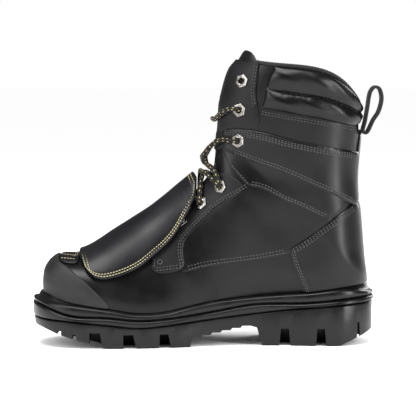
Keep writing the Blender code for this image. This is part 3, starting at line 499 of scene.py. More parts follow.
def leather(name, dark, light, grain, depth, rough, coat):
    """Full grain leather: pebbled at grain, with broad patches of sheen and fine pores."""
    made, tree, shader = new_material(name, Specular_IOR_Level=0.22, Coat_Weight=coat, Coat_Roughness=0.3)
    place = add_node(tree, "TexCoord").outputs["Object"]
    colour, patches = mottled(tree, place, dark, light, 22 * MM)
    tree.links.new(colour, shader.inputs["Base Color"])
    cells = add_node(tree, "TexVoronoi", {"feature": "SMOOTH_F1", "Scale": 1 / grain, "Smoothness": 0.55},
                     {"Vector": place})
    pores = add_node(tree, "TexNoise", {"Scale": 1 / (0.45 * MM), "Detail": 4.0}, {"Vector": place})
    height = add_node(tree, "Math", {"operation": "MULTIPLY_ADD"}, {"Value": cells.outputs["Distance"]})
    height.inputs[1].default_value = 0.6
    tree.links.new(pores.outputs["Fac"], height.inputs[2])
    give_bump(tree, shader, height.outputs["Value"], 0.35, depth)
    give_shine(tree, shader, patches, rough - 0.05, rough + 0.07)
    return made


def rubber(name, dark, light, grit, depth, rough, marked=False):
    """Moulded rubber: faint mould texture and scuffs. marked adds a pebbled zone where the piece
    carries the attribute texture."""
    made, tree, shader = new_material(name, Specular_IOR_Level=0.30)
    place = add_node(tree, "TexCoord").outputs["Object"]
    colour, patches = mottled(tree, place, dark, light, 14 * MM)
    tree.links.new(colour, shader.inputs["Base Color"])
    grain = add_node(tree, "TexNoise", {"Scale": 1 / grit, "Detail": 5.0, "Roughness": 0.65},
                     {"Vector": place})
    height = grain.outputs["Fac"]
    if marked:
        zone = add_node(tree, "Attribute", {"attribute_name": "texture"})
        pebbles = add_node(tree, "TexVoronoi", {"Scale": 1 / (1.5 * MM)}, {"Vector": place})
        strong = add_node(tree, "Math", {"operation": "MULTIPLY"},
                          {"Value": pebbles.outputs["Distance"]})
        tree.links.new(zone.outputs["Fac"], strong.inputs[1])
        more = add_node(tree, "Math", {"operation": "MULTIPLY_ADD"}, {"Value": strong.outputs["Value"]})
        more.inputs[1].default_value = 4.0
        tree.links.new(height, more.inputs[2])
        height = more.outputs["Value"]
    give_bump(tree, shader, height, 0.4, depth)
    give_shine(tree, shader, patches, rough - 0.06, rough + 0.08)
    return made


def woven(name, dark, light, thread, depth, rough, flecks=None):
    """Woven textile read from the piece's UV map, in metres along and across. flecks adds a pale
    yarn that shows in short stitches along the cord."""
    made, tree, shader = new_material(name, Sheen_Weight=0.06, Sheen_Roughness=0.5, Specular_IOR_Level=0.2)
    place = add_node(tree, "UVMap").outputs["UV"]
    turned = add_node(tree, "Mapping", {"Rotation": (0, 0, math.radians(45))}, {"Vector": place})
    check = add_node(tree, "TexVoronoi", {"Scale": 1 / thread, "Randomness": 0.15},
                     {"Vector": turned.outputs["Vector"]})
    mix = add_node(tree, "MixRGB", {"Color1": linear(light), "Color2": linear(dark)},
                   {"Fac": check.outputs["Distance"]})
    colour = mix.outputs["Color"]
    if flecks:
        yarn = add_node(tree, "Mapping", {"Scale": (1 / (5.2 * MM), 1 / (2.7 * MM), 1)}, {"Vector": place})
        spots = add_node(tree, "TexVoronoi", {"Scale": 1.0, "Randomness": 0.35, "voronoi_dimensions": "2D"},
                         {"Vector": yarn.outputs["Vector"]})
        fade = {"From Min": 0.12, "From Max": 0.20, "To Min": 1.0, "To Max": 0.0}
        near = add_node(tree, "MapRange", fade, {"Value": spots.outputs["Distance"]})
        pale = add_node(tree, "MixRGB", {"Color2": linear(flecks)},
                        {"Fac": near.outputs["Result"], "Color1": colour})
        colour = pale.outputs["Color"]
    tree.links.new(colour, shader.inputs["Base Color"])
    give_bump(tree, shader, check.outputs["Distance"], 0.6, depth, invert=True)
    shader.inputs["Roughness"].default_value = rough
    return made


def thread_yarn(name, colour, rough):
    """Twisted waxed thread."""
    made, tree, shader = new_material(name, Roughness=rough)
    place = add_node(tree, "TexCoord").outputs["Object"]
    noise = add_node(tree, "TexNoise", {"Scale": 1 / (0.6 * MM), "Detail": 2.0}, {"Vector": place})
    mix = add_node(tree, "MixRGB", {"Color1": linear(colour[0]), "Color2": linear(colour[1])},
                   {"Fac": noise.outputs["Fac"]})
    tree.links.new(mix.outputs["Color"], shader.inputs["Base Color"])
    return made


def nickel_plate(name):
    """Stamped nickel-plated brass: bright, with fine drawing marks and small dents."""
    made, tree, shader = new_material(name, Metallic=1.0)
    place = add_node(tree, "TexCoord").outputs["Object"]
    colour, _ = mottled(tree, place, "#6f6d6a", "#a29f9a", 3 * MM)
    tree.links.new(colour, shader.inputs["Base Color"])
    marks = add_node(tree, "TexNoise", {"Scale": 1 / (0.5 * MM), "Detail": 3.0}, {"Vector": place})
    give_shine(tree, shader, marks.outputs["Fac"], 0.16, 0.36, 0.0, 1.0)
    give_bump(tree, shader, marks.outputs["Fac"], 0.12, 0.05 * MM)
    return made


FULL_GRAIN = leather("full_grain_leather", "#070607", "#0e0d0d", 0.9 * MM, 0.10 * MM, 0.34, 0.12)
FACING_GRAIN = leather("facing_leather_matt", "#0d0c0e", "#141315", 1.1 * MM, 0.12 * MM, 0.46, 0.03)
GUARD_GRAIN = leather("guard_leather_smooth", "#0d0d10", "#161518", 0.8 * MM, 0.07 * MM, 0.40, 0.16)
PAD_GRAIN = leather("pad_leather_soft", "#070606", "#0e0d0d", 1.0 * MM, 0.12 * MM, 0.33, 0.12)
LINING_FELT = leather("lining_textile_brushed", "#121212", "#1a1a1b", 1.4 * MM, 0.2 * MM, 0.85, 0.0)
SOLE_RUBBER = rubber("sole_rubber_moulded", "#0a0a0b", "#111112", 0.8 * MM, 0.06 * MM, 0.32)
BUMPER_RUBBER = rubber("bumper_rubber_matt", "#1c1c1d", "#262627", 0.5 * MM, 0.10 * MM, 0.56, marked=True)
LACE_BRAID = woven("lace_braid_polyester", "#070707", "#191919", 0.8 * MM, 0.25 * MM, 0.7, flecks="#a0935f")
WEBBING_TAPE = woven("webbing_nylon_woven", "#0e0e0e", "#262627", 0.9 * MM, 0.2 * MM, 0.72)
CREAM_THREAD = thread_yarn("cream_bonded_thread", ("#7d7658", "#b5ad88"), 0.6)
BLACK_THREAD = thread_yarn("black_bonded_thread", ("#1d1c1d", "#383637"), 0.30)
NICKEL = nickel_plate("nickel_plated_brass")


# Stitches: short beads of thread along lines on the leather
BEAD_RINGS = ((-0.5, 0.35), (-0.36, 0.9), (0.0, 1.0), (0.36, 0.9), (0.5, 0.35))
BEAD_SIDES = 6


def bead_mesh(points, normals, pitch, length, radius):
    """Points and faces of the stitches along one line."""
    run = run_along(points)
    verts, faces = [], []
    for place in np.arange(pitch / 2, run[-1] - pitch / 2, pitch):
        middle = read_along(place, run, points)
        ahead = read_along(place + length / 2, run, points) - middle
        ahead /= max(np.linalg.norm(ahead), 1e-9)
        up = read_along(place, run, normals)
        up -= ahead * up.dot(ahead)
        up /= max(np.linalg.norm(up), 1e-9)
        across = np.cross(ahead, up)
        base = len(verts)
        for at, size in BEAD_RINGS:
            for k in range(BEAD_SIDES):
                angle = 2 * math.pi * k / BEAD_SIDES
                lift = radius * size * math.sin(angle) * 0.8 - radius * 0.9 * (2 * at) ** 2
                verts.append(middle + ahead * at * length + up * lift
                             + across * radius * size * math.cos(angle))
        for ring in range(len(BEAD_RINGS) - 1):
            for k in range(BEAD_SIDES):
                a, b = base + ring * BEAD_SIDES + k, base + ring * BEAD_SIDES + (k + 1) % BEAD_SIDES
                faces.append((a, b, b + BEAD_SIDES, a + BEAD_SIDES))
        faces.append(tuple(base + k for k in reversed(range(BEAD_SIDES))))
        last = base + (len(BEAD_RINGS) - 1) * BEAD_SIDES
        faces.append(tuple(last + k for k in range(BEAD_SIDES)))
    return verts, faces


def stitch_object(name, lines, slot, finish, pitch=0.0031, length=0.0024, radius=0.00042):
    """One object of stitches along lines, each with its points and normals."""
    verts, faces = [], []
    for points, normals in lines:
        more, rings = bead_mesh(points, normals, pitch, length, radius)
        faces += [tuple(k + len(verts) for k in ring) for ring in rings]
        verts += more
    obj = tidy_mesh(new_object(name, verts, faces), 60)
    return dress(obj, slot, finish)


def dense_line(points, step=0.001):
    """Side view line with a point every step."""
    run = run_along(points)
    return read_along(np.linspace(0, run[-1], max(3, int(run[-1] / step))), run, points)


def moved_aside(points, distance):
    """Line moved to its left by distance, in the side view."""
    ahead = np.gradient(points, axis=0)
    ahead /= np.maximum(np.linalg.norm(ahead, axis=1, keepdims=True), 1e-12)
    return points + distance * np.stack([-ahead[:, 1], ahead[:, 0]], axis=-1)


def seam_lines(table, offsets, grow):
    """Stitch lines on both sides of the boot, beside a side view line."""
    lines = []
    base = rounded(side_view(table), 2, closed=False)
    for offset in offsets:
        flat = moved_aside(dense_line(base), offset)
        for side in (INNER, OUTER):
            s, t = locate(flat[:, 0], flat[:, 1], side)
            lines.append((skin(s, t, np.full(s.shape, grow)), fan_normal(s, t)))
    return lines


# Upper
SHAFT_CREASES = (
    # along and rise of a soft fold from end to end, its depth and its width
    ((0.600, 0.560), (0.690, 0.500), (0.780, 0.445), 0.0012, 0.010),
    ((0.640, 0.400), (0.665, 0.330), (0.680, 0.250), 0.0010, 0.009),
    ((0.700, 0.380), (0.725, 0.300), (0.735, 0.220), 0.0008, 0.009),
    ((0.240, 0.110), (0.320, 0.095), (0.400, 0.100), 0.0010, 0.009),
    ((0.830, 0.560), (0.850, 0.480), (0.880, 0.420), 0.0007, 0.010),
)


def creases(place):
    """How far the leather gives way in its soft folds."""
    u, z = place[..., 0], place[..., 2]
    total = np.zeros(u.shape)
    for *line, depth, width in SHAFT_CREASES:
        points = dense_line(rounded(side_view(line), 2, closed=False), 0.004)
        ends = np.sin(np.linspace(0, math.pi, len(points))) ** 0.7
        weight = np.zeros(u.shape)
        for (pu, pz), strength in zip(points, ends):
            near = np.exp(-((u - pu) ** 2 + (z - pz) ** 2) / width**2)
            weight = np.maximum(weight, strength * near)
        total -= depth * weight
    return total


def upper_shape(s, t, place):
    fade = np.clip((place[..., 2] - seat(place[..., 0])) / 0.012, 0, 1)
    return creases(place) * fade


def make_upper():
    rows = fine_rows(0, COLLAR_ROW, 0.00175)
    cols = np.linspace(-1, 1, 157)
    upper = leather_piece("upper_leather", rows, cols, lambda s, t, p: in_throat(s, p), -0.0002,
                          0.0002, -WALL, upper_shape, lined=True, edge=0.001)
    return dress(upper, "leather", FULL_GRAIN, LINING_FELT,
                 replaces=("upper", "ankle_ridge_inner", "ankle_ridge_outer"))


BUMPER_OUTLINE = (
    (0.074, 0.270), (0.074, 0.168), (0.082, 0.148), (0.106, 0.140), (0.143, 0.113),
    (0.184, 0.075), (0.240, -0.002), (0.180, 0.003), (0.140, 0.003), (0.100, 0.003),
    (0.070, 0.003), (0.040, 0.003), (-0.050, 0.003), (-0.050, 0.270),
)
TAB_OUTLINE = (
    (0.078, 0.270), (0.0785, 0.165), (0.088, 0.148), (0.135, 0.160), (0.138, 0.180),
    (0.141, 0.205), (0.141, 0.270),
)
COUNTER_OUTLINE = (
    (0.800, -0.050), (0.777, 0.062), (0.752, 0.149), (0.747, 0.192), (0.786, 0.218),
    (0.865, 0.288), (0.926, 0.342), (0.937, 0.344), (1.060, 0.333), (1.060, -0.050),
)
STAY_OUTLINE = (
    (0.956, 0.660), (0.951, 0.617), (0.929, 0.394), (0.931, 0.350), (1.060, 0.340),
    (1.060, 0.660),
)
EYESTAY_OUTLINE = (
    (0.450, 1.120), (0.672, 1.120), (0.662, 0.994), (0.653, 0.903), (0.649, 0.843),
    (0.656, 0.790), (0.662, 0.691), (0.566, 0.717), (0.557, 0.662), (0.562, 0.640),
    (0.548, 0.622), (0.450, 0.640),
)
LOWER_EYESTAY_OUTLINE = (
    (0.460, 0.606), (0.533, 0.533), (0.573, 0.525), (0.630, 0.452), (0.536, 0.386),
    (0.518, 0.358), (0.449, 0.288), (0.437, 0.242), (0.449, 0.150), (0.350, 0.156),
    (0.350, 0.227), (0.330, 0.465),
)
QUARTER_OUTLINE = (
    (0.430, 0.152), (0.454, 0.144), (0.512, 0.149), (0.634, 0.150), (0.666, 0.153),
    (0.744, 0.167), (0.790, 0.190), (0.880, 0.290), (0.845, 0.340), (0.760, 0.420),
    (0.677, 0.490), (0.620, 0.480), (0.560, 0.430), (0.500, 0.370), (0.430, 0.300),
)
BAND_OUTLINE = (
    (0.545, 0.660), (0.562, 0.601), (0.576, 0.553), (0.604, 0.505), (0.626, 0.466),
    (0.677, 0.447), (0.721, 0.402), (0.793, 0.352), (0.862, 0.290), (0.930, 0.345),
    (0.860, 0.450), (0.727, 0.545), (0.640, 0.600), (0.570, 0.690),
)
ANKLE_OUTLINE = (
    (0.568, 0.717), (0.662, 0.691), (0.721, 0.659), (0.816, 0.616), (0.926, 0.568),
    (0.958, 0.550), (0.950, 0.330), (0.924, 0.345), (0.845, 0.423), (0.727, 0.515),
    (0.662, 0.553), (0.588, 0.602), (0.562, 0.620), (0.556, 0.640), (0.556, 0.695),
)


def piece_inside(outline, extra=None):
    """Distance function of a side view outline, with the throat left free where asked."""
    edge = rounded(side_view(outline), 2)

    def distance(s, t, place):
        off = outline_distance(edge, place[..., 0], place[..., 2])
        return np.maximum(off, extra(s, place)) if extra else off

    return distance


def across_columns(pitch, low=-1.0, high=1.0, around=0.26):
    return np.linspace(low, high, int(around * (high - low) / 2 / pitch) + 2)


# Line between the bumper's smooth cap and its pebbled zone
BUMPER_STEP = ((0.03, 0.080), (0.06, 0.082), (0.10, 0.083), (0.14, 0.060), (0.17, 0.038), (0.20, 0.022))


def above_step(u, z):
    """Height above the line of the bumper's step, as a share of RISE."""
    line = column_of(BUMPER_STEP, ("along", "rise"), "rise", u / LENGTH)
    return (z - seat(u)) / RISE - line


def make_overlays():
    def zone(s, t, place):
        """Shallow step under the bumper's pebbled zone."""
        return -0.0004 / (1 + np.exp(above_step(place[..., 0], place[..., 2]) / 0.0035))

    bumper = leather_piece("toe_bumper_rubber", fine_rows(0, 7.2, 0.0011), across_columns(0.0014),
                           piece_inside(BUMPER_OUTLINE), GAP, 0.0023, 0.0001, zone)
    mark_texture(bumper)
    dress(bumper, "bumper_rubber", BUMPER_RUBBER, replaces=("toe_bumper",))
    tab = leather_piece("guard_tab_leather", fine_rows(3, 7, 0.0012), across_columns(0.0012, -0.5, 0.5),
                        piece_inside(TAB_OUTLINE), GAP, 0.0018, 0.0001)
    dress(tab, "leather", FACING_GRAIN, replaces=("guard_tab",))
    counter = leather_piece("counter_leather", fine_rows(12, 21.5, 0.0013), across_columns(0.0014),
                            piece_inside(COUNTER_OUTLINE), GAP, 0.0020, 0.0001,
                            lambda s, t, p: 0.6 * creases(p))
    dress(counter, "leather", FULL_GRAIN, replaces=("counter",))
    stay = leather_piece("back_stay_leather", fine_rows(18, 24, 0.0013), across_columns(0.0010),
                         piece_inside(STAY_OUTLINE), GAP, 0.0014, 0.0001)
    dress(stay, "leather", FULL_GRAIN, replaces=("back_stay",))
    for side, word in ((INNER, "inner"), (OUTER, "outer")):
        low, high = (-1.0, -0.03) if side == INNER else (0.03, 1.0)
        cols = across_columns(0.0011, low, high, 0.28)
        pieces = (
            ("quarter", 8, 19, QUARTER_OUTLINE, 0.0011, FULL_GRAIN, (), in_throat),
            ("ankle_band", 9, 21, BAND_OUTLINE, 0.0017, FULL_GRAIN, (), in_throat),
            ("ankle_panel", 12, 23, ANKLE_OUTLINE, 0.0027, FULL_GRAIN, (), in_throat),
            ("eyestay", 13, COLLAR_ROW, EYESTAY_OUTLINE, 0.0021, FACING_GRAIN, ("eyestay_",), in_throat),
            ("lower_eyestay", 7, 16, LOWER_EYESTAY_OUTLINE, 0.0019, FACING_GRAIN,
             ("lower_eyestay_",), in_throat),
        )
        for name, start, end, outline, top, finish, nodes, extra in pieces:
            piece = leather_piece(f"{name}_{word}_leather", fine_rows(start, end, 0.0013), cols,
                                  piece_inside(outline, extra), 0.0, top, -0.0003,
                                  lambda s, t, p: 0.8 * creases(p))
            dress(piece, "leather", finish, replaces=[node + word for node in nodes])


def mark_texture(obj):
    """Writes where the bumper is pebbled."""
    mesh = obj.data
    places = np.empty(len(mesh.vertices) * 3)
    mesh.vertices.foreach_get("co", places)
    places = places.reshape(-1, 3) - (SHIFT_X, SHIFT_Y, 0)
    value = 1 / (1 + np.exp((above_step(places[:, 0], places[:, 2]) + 0.006) / 0.002))
    layer = mesh.attributes.new("texture", "FLOAT", "POINT")
    layer.data.foreach_set("value", value.astype(np.float32))


# Seams: the line, how far beside it the rows lie, and how high the leather stands there
SEAMS = (
    (((0.566, 0.714), (0.662, 0.688), (0.721, 0.656), (0.816, 0.613), (0.930, 0.565)),
     (-0.0020, -0.0038, -0.0056), 0.0028),
    (((0.588, 0.602), (0.662, 0.553), (0.727, 0.515), (0.845, 0.423), (0.922, 0.347)),
     (0.0020, 0.0042), 0.0028),
    (((0.636, 0.463), (0.677, 0.447), (0.721, 0.402), (0.793, 0.352), (0.848, 0.302)),
     (0.0018, 0.0038), 0.0018),
    (((0.562, 0.601), (0.576, 0.553), (0.604, 0.505), (0.626, 0.466)), (0.0018,), 0.0018),
    (((0.455, 0.144), (0.512, 0.149), (0.634, 0.150), (0.666, 0.153), (0.744, 0.167)),
     (0.0018, 0.0046), 0.0012),
    (((0.630, 0.452), (0.536, 0.386), (0.518, 0.358), (0.449, 0.288), (0.437, 0.242), (0.449, 0.156)),
     (-0.0024, -0.0044), 0.0020),
    (((0.362, 0.163), (0.440, 0.157)), (0.0020, 0.0044), 0.0020),
    (((0.352, 0.222), (0.352, 0.176)), (0.0018,), 0.0020),
    (((0.797, -0.010), (0.777, 0.062), (0.754, 0.149), (0.749, 0.190)), (-0.0018, -0.0036), 0.0024),
    (((0.752, 0.194), (0.786, 0.218), (0.865, 0.288), (0.924, 0.340)), (-0.0018, -0.0036, -0.0054), 0.0024),
    (((0.664, 0.985), (0.653, 0.903), (0.649, 0.843), (0.656, 0.790)), (-0.0016, -0.0036), 0.0020),
    (((0.666, 0.776), (0.721, 0.756), (0.827, 0.716), (0.940, 0.668)), (-0.0012, -0.0034), 0.0001),
)


def make_stitches():
    black = []
    for table, offsets, grow in SEAMS:
        black += seam_lines(table, offsets, grow)
    for side in (INNER, OUTER):
        s = np.linspace(16.9, 23.7, 120)
        half = throat_half(s) + 0.0030
        t = side * front_column(s, half, side)
        black.append((skin(s, t, np.full(s.shape, 0.0020)), fan_normal(s, t)))
    stitch_object("black_stitches", black, "leather", BLACK_THREAD, 0.0030, 0.0022, 0.00050)
    cream = seam_lines(((0.086, 0.158), (0.133, 0.170)), (0.0004, 0.0026), 0.0022)
    cream += seam_lines(((0.139, 0.184), (0.1405, 0.214)), (0.0024, 0.0044), 0.0022)
    stitch_object("tab_stitches", cream, "leather", CREAM_THREAD, 0.0027, 0.0022, 0.00045)


def front_column(s, half, side):
    """Column at which the form is this wide from the middle."""
    t = np.linspace(0.01, 0.6, 120)
    grid = np.abs(fan_point(s[:, None], side * t[None, :])[..., 1])
    return np.array([np.interp(h, row, t) for h, row in zip(half, grid)])


# Collar pad, tongue and binding
PAD_COLUMNS = ("column", "top", "groove", "bottom", "swell")
PAD_LINES = (
    (0.372, 24.0, 22.27, 21.14, 1.00),
    (0.430, 24.0, 22.28, 21.24, 1.00),
    (0.570, 24.0, 22.47, 21.52, 1.00),
    (0.700, 24.0, 22.70, 21.82, 0.95),
    (0.850, 24.0, 23.05, 22.30, 0.70),
    (1.000, 24.0, 23.40, 22.80, 0.35),
)
PAD_BULGE = 0.0052


def make_pad():
    """Two stuffed rolls under one skin, pulled in at the seam between them and at the front."""
    side = np.linspace(PAD_LINES[0][0], 1, 100)
    columns = round_the_heel(side)
    shares = np.linspace(0, 1, 57)
    count = np.abs(columns)
    top, groove, bottom, swell = (column_of(PAD_LINES, PAD_COLUMNS, n, count) for n in PAD_COLUMNS[1:])
    low = shares[:, None] < 0.5
    s = np.where(low, top + (groove - top) * 2 * shares[:, None],
                 groove + (bottom - groove) * (2 * shares[:, None] - 1))
    t = np.broadcast_to(columns, s.shape)
    part = np.where(low, 2 * shares[:, None], 2 * shares[:, None] - 1)
    roll = np.sin(math.pi * part) ** 0.62
    front = np.clip((count - PAD_LINES[0][0]) / 0.11, 0, 1)
    front = np.sqrt(1 - (1 - front) ** 2) * (1 - 0.10 * np.exp(-(((count - 0.52) / 0.03) ** 2)))
    run = 9.0 * columns[None, :]
    near_seam = np.exp(-((shares[:, None] - 0.5) / 0.10) ** 2)
    pucker = 0.00028 * near_seam * np.sin(46 * run / 2) * np.sin(7 * run + 1.3)
    dimple = 0.0004 * np.sin(5.1 * run + 6 * part) * roll
    grow = GAP + 0.0009 + (PAD_BULGE * roll * swell + dimple) * front[None, :] + pucker
    outer = skin(s, t, grow)
    inner = skin(s, t, np.full(s.shape, GAP))
    pad = two_layers("collar_pad_rolls", outer, inner, full_grid(*s.shape), np.zeros(len(s), bool))
    tidy_mesh(pad, 60)
    dress(pad, "pad_leather", PAD_GRAIN, replaces=("collar_pad",))
    seam = skin(groove, columns, np.full(columns.shape, 0.0013))
    stitch_object("pad_stitches", [(seam, fan_normal(groove, columns))], "leather", BLACK_THREAD,
                  0.0030, 0.0024, 0.0004)


def tube_mesh(name, points, radii, sides=16, shade=60):
    """Round cord along points, with a UV map in metres along and round it."""
    points = [Vector(p) for p in points]
    rings, run = [], [0.0]
    across = None
    for k, point in enumerate(points):
        ahead = (points[min(k + 1, len(points) - 1)] - points[max(k - 1, 0)]).normalized()
        if k:
            run.append(run[-1] + (point - points[k - 1]).length)
        if across is None:
            across = ahead.orthogonal().normalized()
        across = (across - ahead * across.dot(ahead)).normalized()
        other = ahead.cross(across)
        radius = float(radii[k] if hasattr(radii, "__len__") else radii)
        turns = [2 * math.pi * i / sides for i in range(sides)]
        rings.append([point + radius * (math.cos(a) * across + math.sin(a) * other) for a in turns])
    verts = [p for ring in rings for p in ring]
    faces, uvs = [], []
    girth = 2 * math.pi * (radii[0] if hasattr(radii, "__len__") else radii)
    for k in range(len(rings) - 1):
        for i in range(sides):
            j = (i + 1) % sides
            faces.append((k * sides + i, k * sides + j, (k + 1) * sides + j, (k + 1) * sides + i))
            low, high = girth * i / sides, girth * (i + 1) / sides
            uvs += [(run[k], low), (run[k], high), (run[k + 1], high), (run[k + 1], low)]
    first = tuple(reversed(range(sides)))
    last = tuple((len(rings) - 1) * sides + i for i in range(sides))
    faces += [first, last]
    uvs += [(0.0, 0.0)] * (2 * sides)
    obj = new_object(name, verts, faces)
    layer = obj.data.uv_layers.new(name="UVMap")
    layer.data.foreach_set("uv", np.array(uvs, float).reshape(-1))
    return tidy_mesh(obj, shade)


def make_binding():
    """Ribbed edge over the collar, from facing to facing round the back."""
    side = np.linspace(0.245, 1, 150)
    columns = round_the_heel(side)
    edge = skin(np.full(columns.shape, 24.0), columns, np.full(columns.shape, -WALL / 2))
    above = skin(np.full(columns.shape, 24.1), columns, np.full(columns.shape, -WALL / 2)) - edge
    above /= np.linalg.norm(above, axis=1, keepdims=True)
    line = edge + above * 0.0022
    run = run_along(line)
    at = np.arange(0, run[-1], 0.0006)
    line = read_along(at, run, line)
    ribs = 0.0019 * (1 + 0.09 * np.sin(2 * math.pi * at / 0.0028))
    binding = tube_mesh("collar_binding_ribbed", line, ribs, 12)
    dress(binding, "webbing", WEBBING_TAPE, replaces=("collar_binding",))


TONGUE_SECTIONS = (8, 24.85)
TONGUE_REACH = 0.25
TONGUE_THICK = 0.0046


def make_tongue():
    """Padded tongue behind the throat, its tip above the collar."""
    rows = fine_rows(*TONGUE_SECTIONS, 0.0022)
    cols = np.linspace(-TONGUE_REACH, TONGUE_REACH, 61)
    s, t = np.meshgrid(rows, cols, indexing="ij")
    part = np.abs(t) / TONGUE_REACH
    tip = np.clip((s - 23.6) / 1.25, 0, 1)
    s = s - 0.7 * part**4 * np.clip((s - 22) / 2.85, 0, 1) ** 2
    crown = np.sqrt(np.clip(1 - part**6, 0, 1))
    end = np.sqrt(np.clip(1 - tip**4, 0, 1))
    thick = TONGUE_THICK * crown * end
    middle = -(WALL + GAP + TONGUE_THICK / 2)
    wave = 0.0004 * np.sin(1.7 * s + 3 * t) * crown * end
    outer = skin(s, t, middle + thick / 2 + wave * (s > 23.5))
    inner = skin(s, t, middle - thick / 2)
    n, m = s.shape
    used = full_grid(n, m)
    tongue = two_layers("tongue_padded", outer, inner, used, np.zeros(n, bool))
    tidy_mesh(tongue, 70)
    dress(tongue, "pad_leather", FACING_GRAIN, replaces=("tongue",))


# Metatarsal guard
GUARD_STAND = 0.017
GUARD_THICK = 0.0028
GUARD_COLUMNS = ("section", "edge_column", "ridge_out", "edge_out")
GUARD = (
    (5.42, 0.200, 0.312, 0.312),
    (5.55, 0.330, 0.318, 0.312),
    (5.80, 0.430, 0.345, 0.300),
    (6.20, 0.485, 0.415, 0.285),
    (6.65, 0.490, 0.520, 0.280),
    (7.13, 0.480, 0.650, 0.320),
    (7.86, 0.452, 0.820, 0.370),
    (8.44, 0.415, 0.930, 0.420),
    (9.31, 0.365, 0.960, 0.480),
    (9.97, 0.310, 0.900, 0.600),
    (10.51, 0.260, 0.840, 0.700),
    (10.90, 0.190, 0.790, 0.710),
    (11.13, 0.090, 0.740, 0.710),
)


def guard_place(s, v, grow=0.0):
    """Point and normal of the guard's outer face: s its section, v from -1 to 1 across."""
    edge, ridge_out, edge_out = (column_of(GUARD, GUARD_COLUMNS, n, s) for n in GUARD_COLUMNS[1:])
    dome = np.cos(v * math.pi / 2) ** 0.8
    out = GUARD_STAND * (edge_out + (ridge_out - edge_out) * dome)
    return skin(s, v * edge, out + grow), fan_normal(s, v * edge)


def make_guard():
    rows = np.interp(np.linspace(0, 1, 131), np.linspace(0, 1, len(GUARD)), [r[0] for r in GUARD])
    cols = np.sin(np.linspace(-1, 1, 121) * math.pi / 2)
    s, v = np.meshgrid(rows, cols, indexing="ij")
    first, last = rows[0], rows[-1]
    side_in = np.clip((1 - np.abs(v)) / 0.025, 0, 1)
    end_in = np.clip(np.minimum(s - first, last - s) / 0.06, 0, 1)
    lip = np.sqrt(1 - (1 - side_in) ** 2) * np.sqrt(1 - (1 - end_in) ** 2)
    soft = 0.0005 * np.sin(1.9 * s + 0.6) * np.sin(2.3 * v + 0.9 * s) * side_in * end_in
    groove = np.exp(-(((1 - np.abs(v)) - 0.075) / 0.03) ** 2)
    outer, _ = guard_place(s, v, -0.0009 * (1 - lip) + soft - 0.00025 * groove)
    inner, _ = guard_place(s, v, -GUARD_THICK + 0.0006 * (1 - lip) + soft)
    n, m = s.shape
    used = full_grid(n, m)
    guard = two_layers("met_guard_leather", outer, inner, used, np.zeros(n, bool))
    tidy_mesh(guard, 60)
    dress(guard, "leather", GUARD_GRAIN, replaces=("met_guard",))
    lines = []
    for inset in (0.0022, 0.0046):
        loop = guard_loop(first, last, inset)
        points, normals = guard_place(loop[:, 0], loop[:, 1], 0.0001)
        lines.append((points, normals))
    stitch_object("guard_stitches", lines, "leather", CREAM_THREAD, 0.0027, 0.0021, 0.00043)


def guard_loop(first, last, inset):
    """Sections and shares of a line this far inside the guard's edge, open at its middle front."""
    rows = np.linspace(first, last, 160)
    v = np.linspace(0, 1, 60)
    mesh_s, mesh_v = np.meshgrid(rows, v, indexing="ij")
    points, _ = guard_place(mesh_s, mesh_v)
    run = np.linalg.norm(np.diff(points, axis=1), axis=-1)
    run = np.concatenate([np.zeros((len(rows), 1)), np.cumsum(run, axis=1)], axis=1)
    along = run_along(points[:, 0])
    low = np.interp(inset, along, rows)
    high = np.interp(along[-1] - inset, along, rows)
    near_v = np.array([np.interp(r[-1] - inset, r, v) for r in run])
    keep = (rows >= low) & (rows <= high)
    side = np.stack([rows[keep], near_v[keep]], axis=-1)
    top_v = np.linspace(side[-1, 1], -side[-1, 1], 30)
    top = np.stack([np.full(30, side[-1, 0]), top_v], axis=-1)
    front_v = np.linspace(-side[0, 1], side[0, 1], 30)
    front = np.stack([np.full(30, side[0, 0]), front_v], axis=-1)
    other = side[::-1] * (1, -1)
    return np.concatenate([side, top[1:-1], other, front[1:-1]])


# Metal pieces, laces and pull loop
EYELETS = (
    (0.614, 0.902, 0.0019),
    (0.606, 0.783, 0.0019),
    (0.602, 0.656, 0.0016),
    (0.552, 0.469, 0.0019),
    (0.494, 0.411, 0.0019),
    (0.436, 0.355, 0.0019),
)
RIVET = (0.373, 0.204)
# Rings of an eyelet from its foot over the rim into the bore: corner share of the hexagon, radius
# in metres for a round ring, and height
EYELET_RINGS = (
    (1.00, 0.0057, 0.0002), (1.00, 0.0057, 0.0010), (0.93, 0.0054, 0.0014), (0.35, 0.0046, 0.0015),
    (0.00, 0.0041, 0.0015), (0.00, 0.0039, 0.0020), (0.00, 0.0034, 0.0022), (0.00, 0.0029, 0.0019),
    (0.00, 0.0026, 0.0010), (0.00, 0.0026, -0.0006), (0.00, 0.0035, -0.0006),
)
# The same for the dark disc of painted shade that fills an eyelet's bore, and for the ring at the foot of
# the throat
BORE_RINGS = ((0, 0.0027, 0.0), (0, 0.0027, 0.0002), (0, 0.00001, 0.0002), (0, 0.00001, 0.0))
RIVET_RINGS = (
    (0, 0.0027, 0.0), (0, 0.0027, 0.0008), (0, 0.0022, 0.0013), (0, 0.0016, 0.0010),
    (0, 0.0014, 0.0003), (0, 0.0014, 0.0),
)
RING_POINTS = 48


def frame_at(along, rise, side):
    """Place, outward normal and upward direction on the form."""
    flat = side_view(((along, rise),))
    s, t = locate(flat[:, 0], flat[:, 1], side)
    place = Vector(skin(s, t, np.zeros(1))[0])
    normal = Vector(fan_normal(s, t)[0])
    up = Vector(skin(s + 0.2, t, np.zeros(1))[0]) - place
    up = (up - normal * up.dot(normal)).normalized()
    return place, normal, up, (float(s[0]), float(t[0]))


